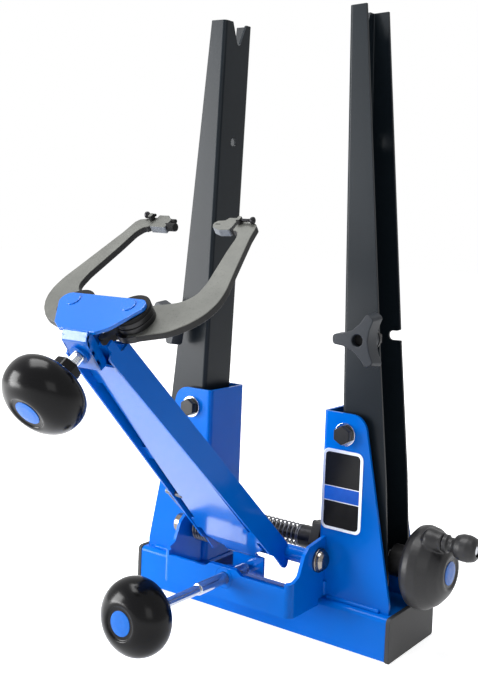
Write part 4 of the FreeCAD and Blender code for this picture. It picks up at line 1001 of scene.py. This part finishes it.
def stop_screw(reach):
    """A small screw whose socket head starts at the reach."""
    head = [
        (0, 0),
        (1.1, 0),
        (2.5, 1.8, 0.4),
        (2.5, 3.4, 0.5),
        (0.6, 3.4),
        (0.6, 2.8),
        (0, 2.8),
    ]
    risen = [(corner[0], reach + corner[1]) + corner[2:] for corner in head]
    shaft = thread(
        radius=1.15,
        depth=0.25,
        start=STOP_START,
        length=reach - STOP_START + 0.1,
        pitch=0.7,
        steps=10,
    )
    return joined(shaft, turned(risen, steps=32))


for word, side in HANDS:
    place = HEAD @ at(side * RIVET_REACH, 0, 0)
    jaw = word + "_caliper_jaw"
    # The finger's side faces take painted shade, a darker copy of its steel.
    piece(
        word + "_finger",
        finger_parts(side),
        place,
        jaw,
        JAW,
        stands_in=True,
        smooth=40,
        edges=JAW_SHADED_SIDES,
    )
    hub = turned(boss_stack, closed=True, steps=64)
    # The boss under the head plate: dark steel in part, painted shade in part.
    piece(word + "_finger_boss", hub, place, jaw, JAW_BOSS_BLACK_AND_SHADE, smooth=40)
    block = word + "_tip_block"
    plate = slab(mirrored(side, tip[side]), -19, 6, edge=0.7, segments=3)
    piece(word + "_tip_plate", plate, place, block, JAW, stands_in=True, smooth=40, edges=TIP_EDGE)
    # Near black: painted shade in the gap and the slit, and the left tip's pins.
    piece(word + "_tip_neck_shade_and_pins", tip_details(side), place, block, PAINTED_SHADE_BLACK, smooth=40)
    screw = stop_screw(stop_reach[side])
    screw_place = place @ at(0, stop_along[side], -10.5) @ SIDE[side]
    piece(
        word + "_stop_screw",
        screw,
        screw_place,
        word + "_tip_screw",
        DARK_STEEL,
        stands_in=True,
        smooth=40,
    )

# ---------------------------------------------------------------- knobs and their screws

KNOB_STEPS = 28
UPPER_KNOB_SEAT = 44
LOWER_KNOB_SEAT = 149
knob_dome = [
    (0, 8),
    (9, 8),
    (13, 8.8),
    (19, 11.2),
    (24.8, 14.6),
    (27.5, 19.6),
    (27.9, 25),
    (26.8, 30.8),
    (23.4, 36.2),
    (17.8, 40.3),
    (13.6, 41.6),
    (12.1, 41.5),
    (11.5, 40.9),
    (11.3, 40.35),
    (0, 40.35),
]


def knob(word, place):
    """A turned mushroom knob on an octagonal hub, with a plain badge let into its face."""
    dome = turned(knob_dome, steps=KNOB_STEPS)
    piece(word + "_dome", dome, place, word + "_knob", KNOB, stands_in=True, smooth=180, levels=2)
    hub = slab(regular(8, 18), 0, 10, edge=0.9, segments=3)
    piece(word + "_hub", hub, place, word + "_knob", KNOB)
    piece(word + "_badge", badge(40.3), place, word + "_medallion", ENAMEL_BLUE, stands_in=True)


knob("upper", UPPER_SCREW @ at(0, 0, UPPER_KNOB_SEAT))
knob("lower", at(0, -LOWER_KNOB_SEAT, 0) @ LOWER_SCREW)
painted("upper_nose", BLUE)
upper_thread = thread(radius=4, depth=0.55, start=26.4, length=18.2, pitch=1.25)
piece("upper_thread", upper_thread, UPPER_SCREW, "upper_screw", ZINC, stands_in=True)
painted("lower_nose", ROD_ZINC)
shank = [(0, 50.6), (4.5, 50.6, 0.4), (4.5, 107, 0.6), (3.5, 107.2), (3.5, 149.5), (0, 149.5)]
piece("lower_shank", turned(shank), LOWER_SCREW, "lower_screw", ROD_ZINC, stands_in=True)

# ---------------------------------------------------------------- room, light and camera

FLOOR_HALF = 6.0
FLOOR_GLOW = 0.8
ROOM_LIGHT = 0.24
SENSOR_MM = 36
PICTURE_WIDTH, PICTURE_HEIGHT = 478, 700
FOCAL_PIXELS = 986.85
CENTRE_X, CENTRE_Y = 239.705, 282.652
EYE = (0.43877, -0.66640, 0.31696)
ACROSS = (0.804164, 0.593260, 0.036933)
UP = (-0.066943, 0.028653, 0.997345)
NEAREST, FARTHEST = 0.05, 30


def studio_floor():
    """A wide pale sheet that keeps the stand's shadow."""
    bm = bmesh.new()
    bmesh.ops.create_grid(bm, x_segments=1, y_segments=1, size=FLOOR_HALF)
    mesh = bpy.data.meshes.new("studio_floor")
    bm.to_mesh(mesh)
    bm.free()
    finish = Finish("pale_floor")
    paper = finish.grain(30)
    pale = finish.blend(paper, (0.88, 0.885, 0.89, 1), (0.9, 0.905, 0.91, 1))
    shade = finish.node("ShaderNodeBsdfDiffuse", {}, {"Color": pale})
    light = {"Color": (1, 1, 1, 1), "Strength": FLOOR_GLOW}
    glow = finish.node("ShaderNodeEmission", {}, light)
    whole = finish.node("ShaderNodeAddShader", {}, {0: shade, 1: glow})
    seen = finish.node("ShaderNodeLightPath", {}, {}, "Is Camera Ray")
    seen = seen + finish.node("ShaderNodeLightPath", {}, {}, "Is Glossy Ray")
    surface = finish.node("ShaderNodeMixShader", {}, {0: seen, 1: shade, 2: whole})
    finish.tree.links.new(surface.socket, finish.output.inputs["Surface"])
    mesh.materials.append(finish.material)
    floor = bpy.data.objects.new("studio_floor", mesh)
    bpy.context.scene.collection.objects.link(floor)


def studio_air():
    """White behind the stand and in its reflections, softer where it lights the stand."""
    world = bpy.data.worlds.new("studio_air")
    world.use_nodes = True
    tree = world.node_tree
    tree.nodes.clear()
    paths = tree.nodes.new("ShaderNodeLightPath")

    def either(first, second):
        larger = tree.nodes.new("ShaderNodeMath")
        larger.operation = "MAXIMUM"
        tree.links.new(first, larger.inputs[0])
        tree.links.new(second, larger.inputs[1])
        return larger.outputs[0]

    white = either(paths.outputs["Is Camera Ray"], paths.outputs["Is Glossy Ray"])
    bright = either(white, paths.outputs["Is Transmission Ray"])
    level = tree.nodes.new("ShaderNodeMapRange")
    level.inputs["To Min"].default_value = ROOM_LIGHT
    level.inputs["To Max"].default_value = 1.0
    tree.links.new(bright, level.inputs["Value"])
    sky = tree.nodes.new("ShaderNodeBackground")
    sky.inputs["Color"].default_value = (1, 1, 1, 1)
    tree.links.new(level.outputs[0], sky.inputs["Strength"])
    output = tree.nodes.new("ShaderNodeOutputWorld")
    tree.links.new(sky.outputs[0], output.inputs["Surface"])
    bpy.context.scene.world = world


def softbox(name, spot, aim, width, height, power):
    """A lamp of this size in metres and power in watts, which the camera doesn't see."""
    lamp = bpy.data.lights.new(name, "AREA")
    lamp.shape = "RECTANGLE"
    lamp.size = width
    lamp.size_y = height
    lamp.energy = power
    box = bpy.data.objects.new(name, lamp)
    box.location = spot
    box.visible_camera = False
    box.rotation_euler = (Vector(aim) - Vector(spot)).to_track_quat("-Z", "Y").to_euler()
    bpy.context.scene.collection.objects.link(box)


def camera():
    """The camera for a picture of this width and height in pixels."""
    lens = bpy.data.cameras.new("camera")
    lens.sensor_width = SENSOR_MM
    lens.lens = FOCAL_PIXELS / PICTURE_HEIGHT * SENSOR_MM
    lens.shift_x = (PICTURE_WIDTH / 2 - CENTRE_X) / PICTURE_HEIGHT
    lens.shift_y = (CENTRE_Y - PICTURE_HEIGHT / 2) / PICTURE_HEIGHT
    lens.clip_start = NEAREST
    lens.clip_end = FARTHEST
    eye = bpy.data.objects.new("camera", lens)
    across, up = Vector(ACROSS), Vector(UP)
    back = across.cross(up)
    turn = Matrix((across, up, back)).transposed().to_4x4()
    eye.matrix_world = Matrix.Translation(EYE) @ turn
    bpy.context.scene.collection.objects.link(eye)
    bpy.context.scene.camera = eye


studio_floor()
studio_air()
softbox("key", (-1.4, -1.3, 0.5), aim=(0, 0, 0.25), width=0.8, height=0.9, power=42)
softbox("overhead", (-0.4, -0.3, 1.9), aim=(0, -0.05, 0.2), width=1.1, height=1.1, power=44)
softbox("card", (-0.78, -0.98, 0.08), aim=(0, 0, 0.22), width=0.55, height=0.14, power=4)
softbox("fill", (1.7, -1.5, 0.9), aim=(0, 0, 0.2), width=1.0, height=1.0, power=7)
camera()
bpy.context.scene.view_settings.view_transform = "Standard"
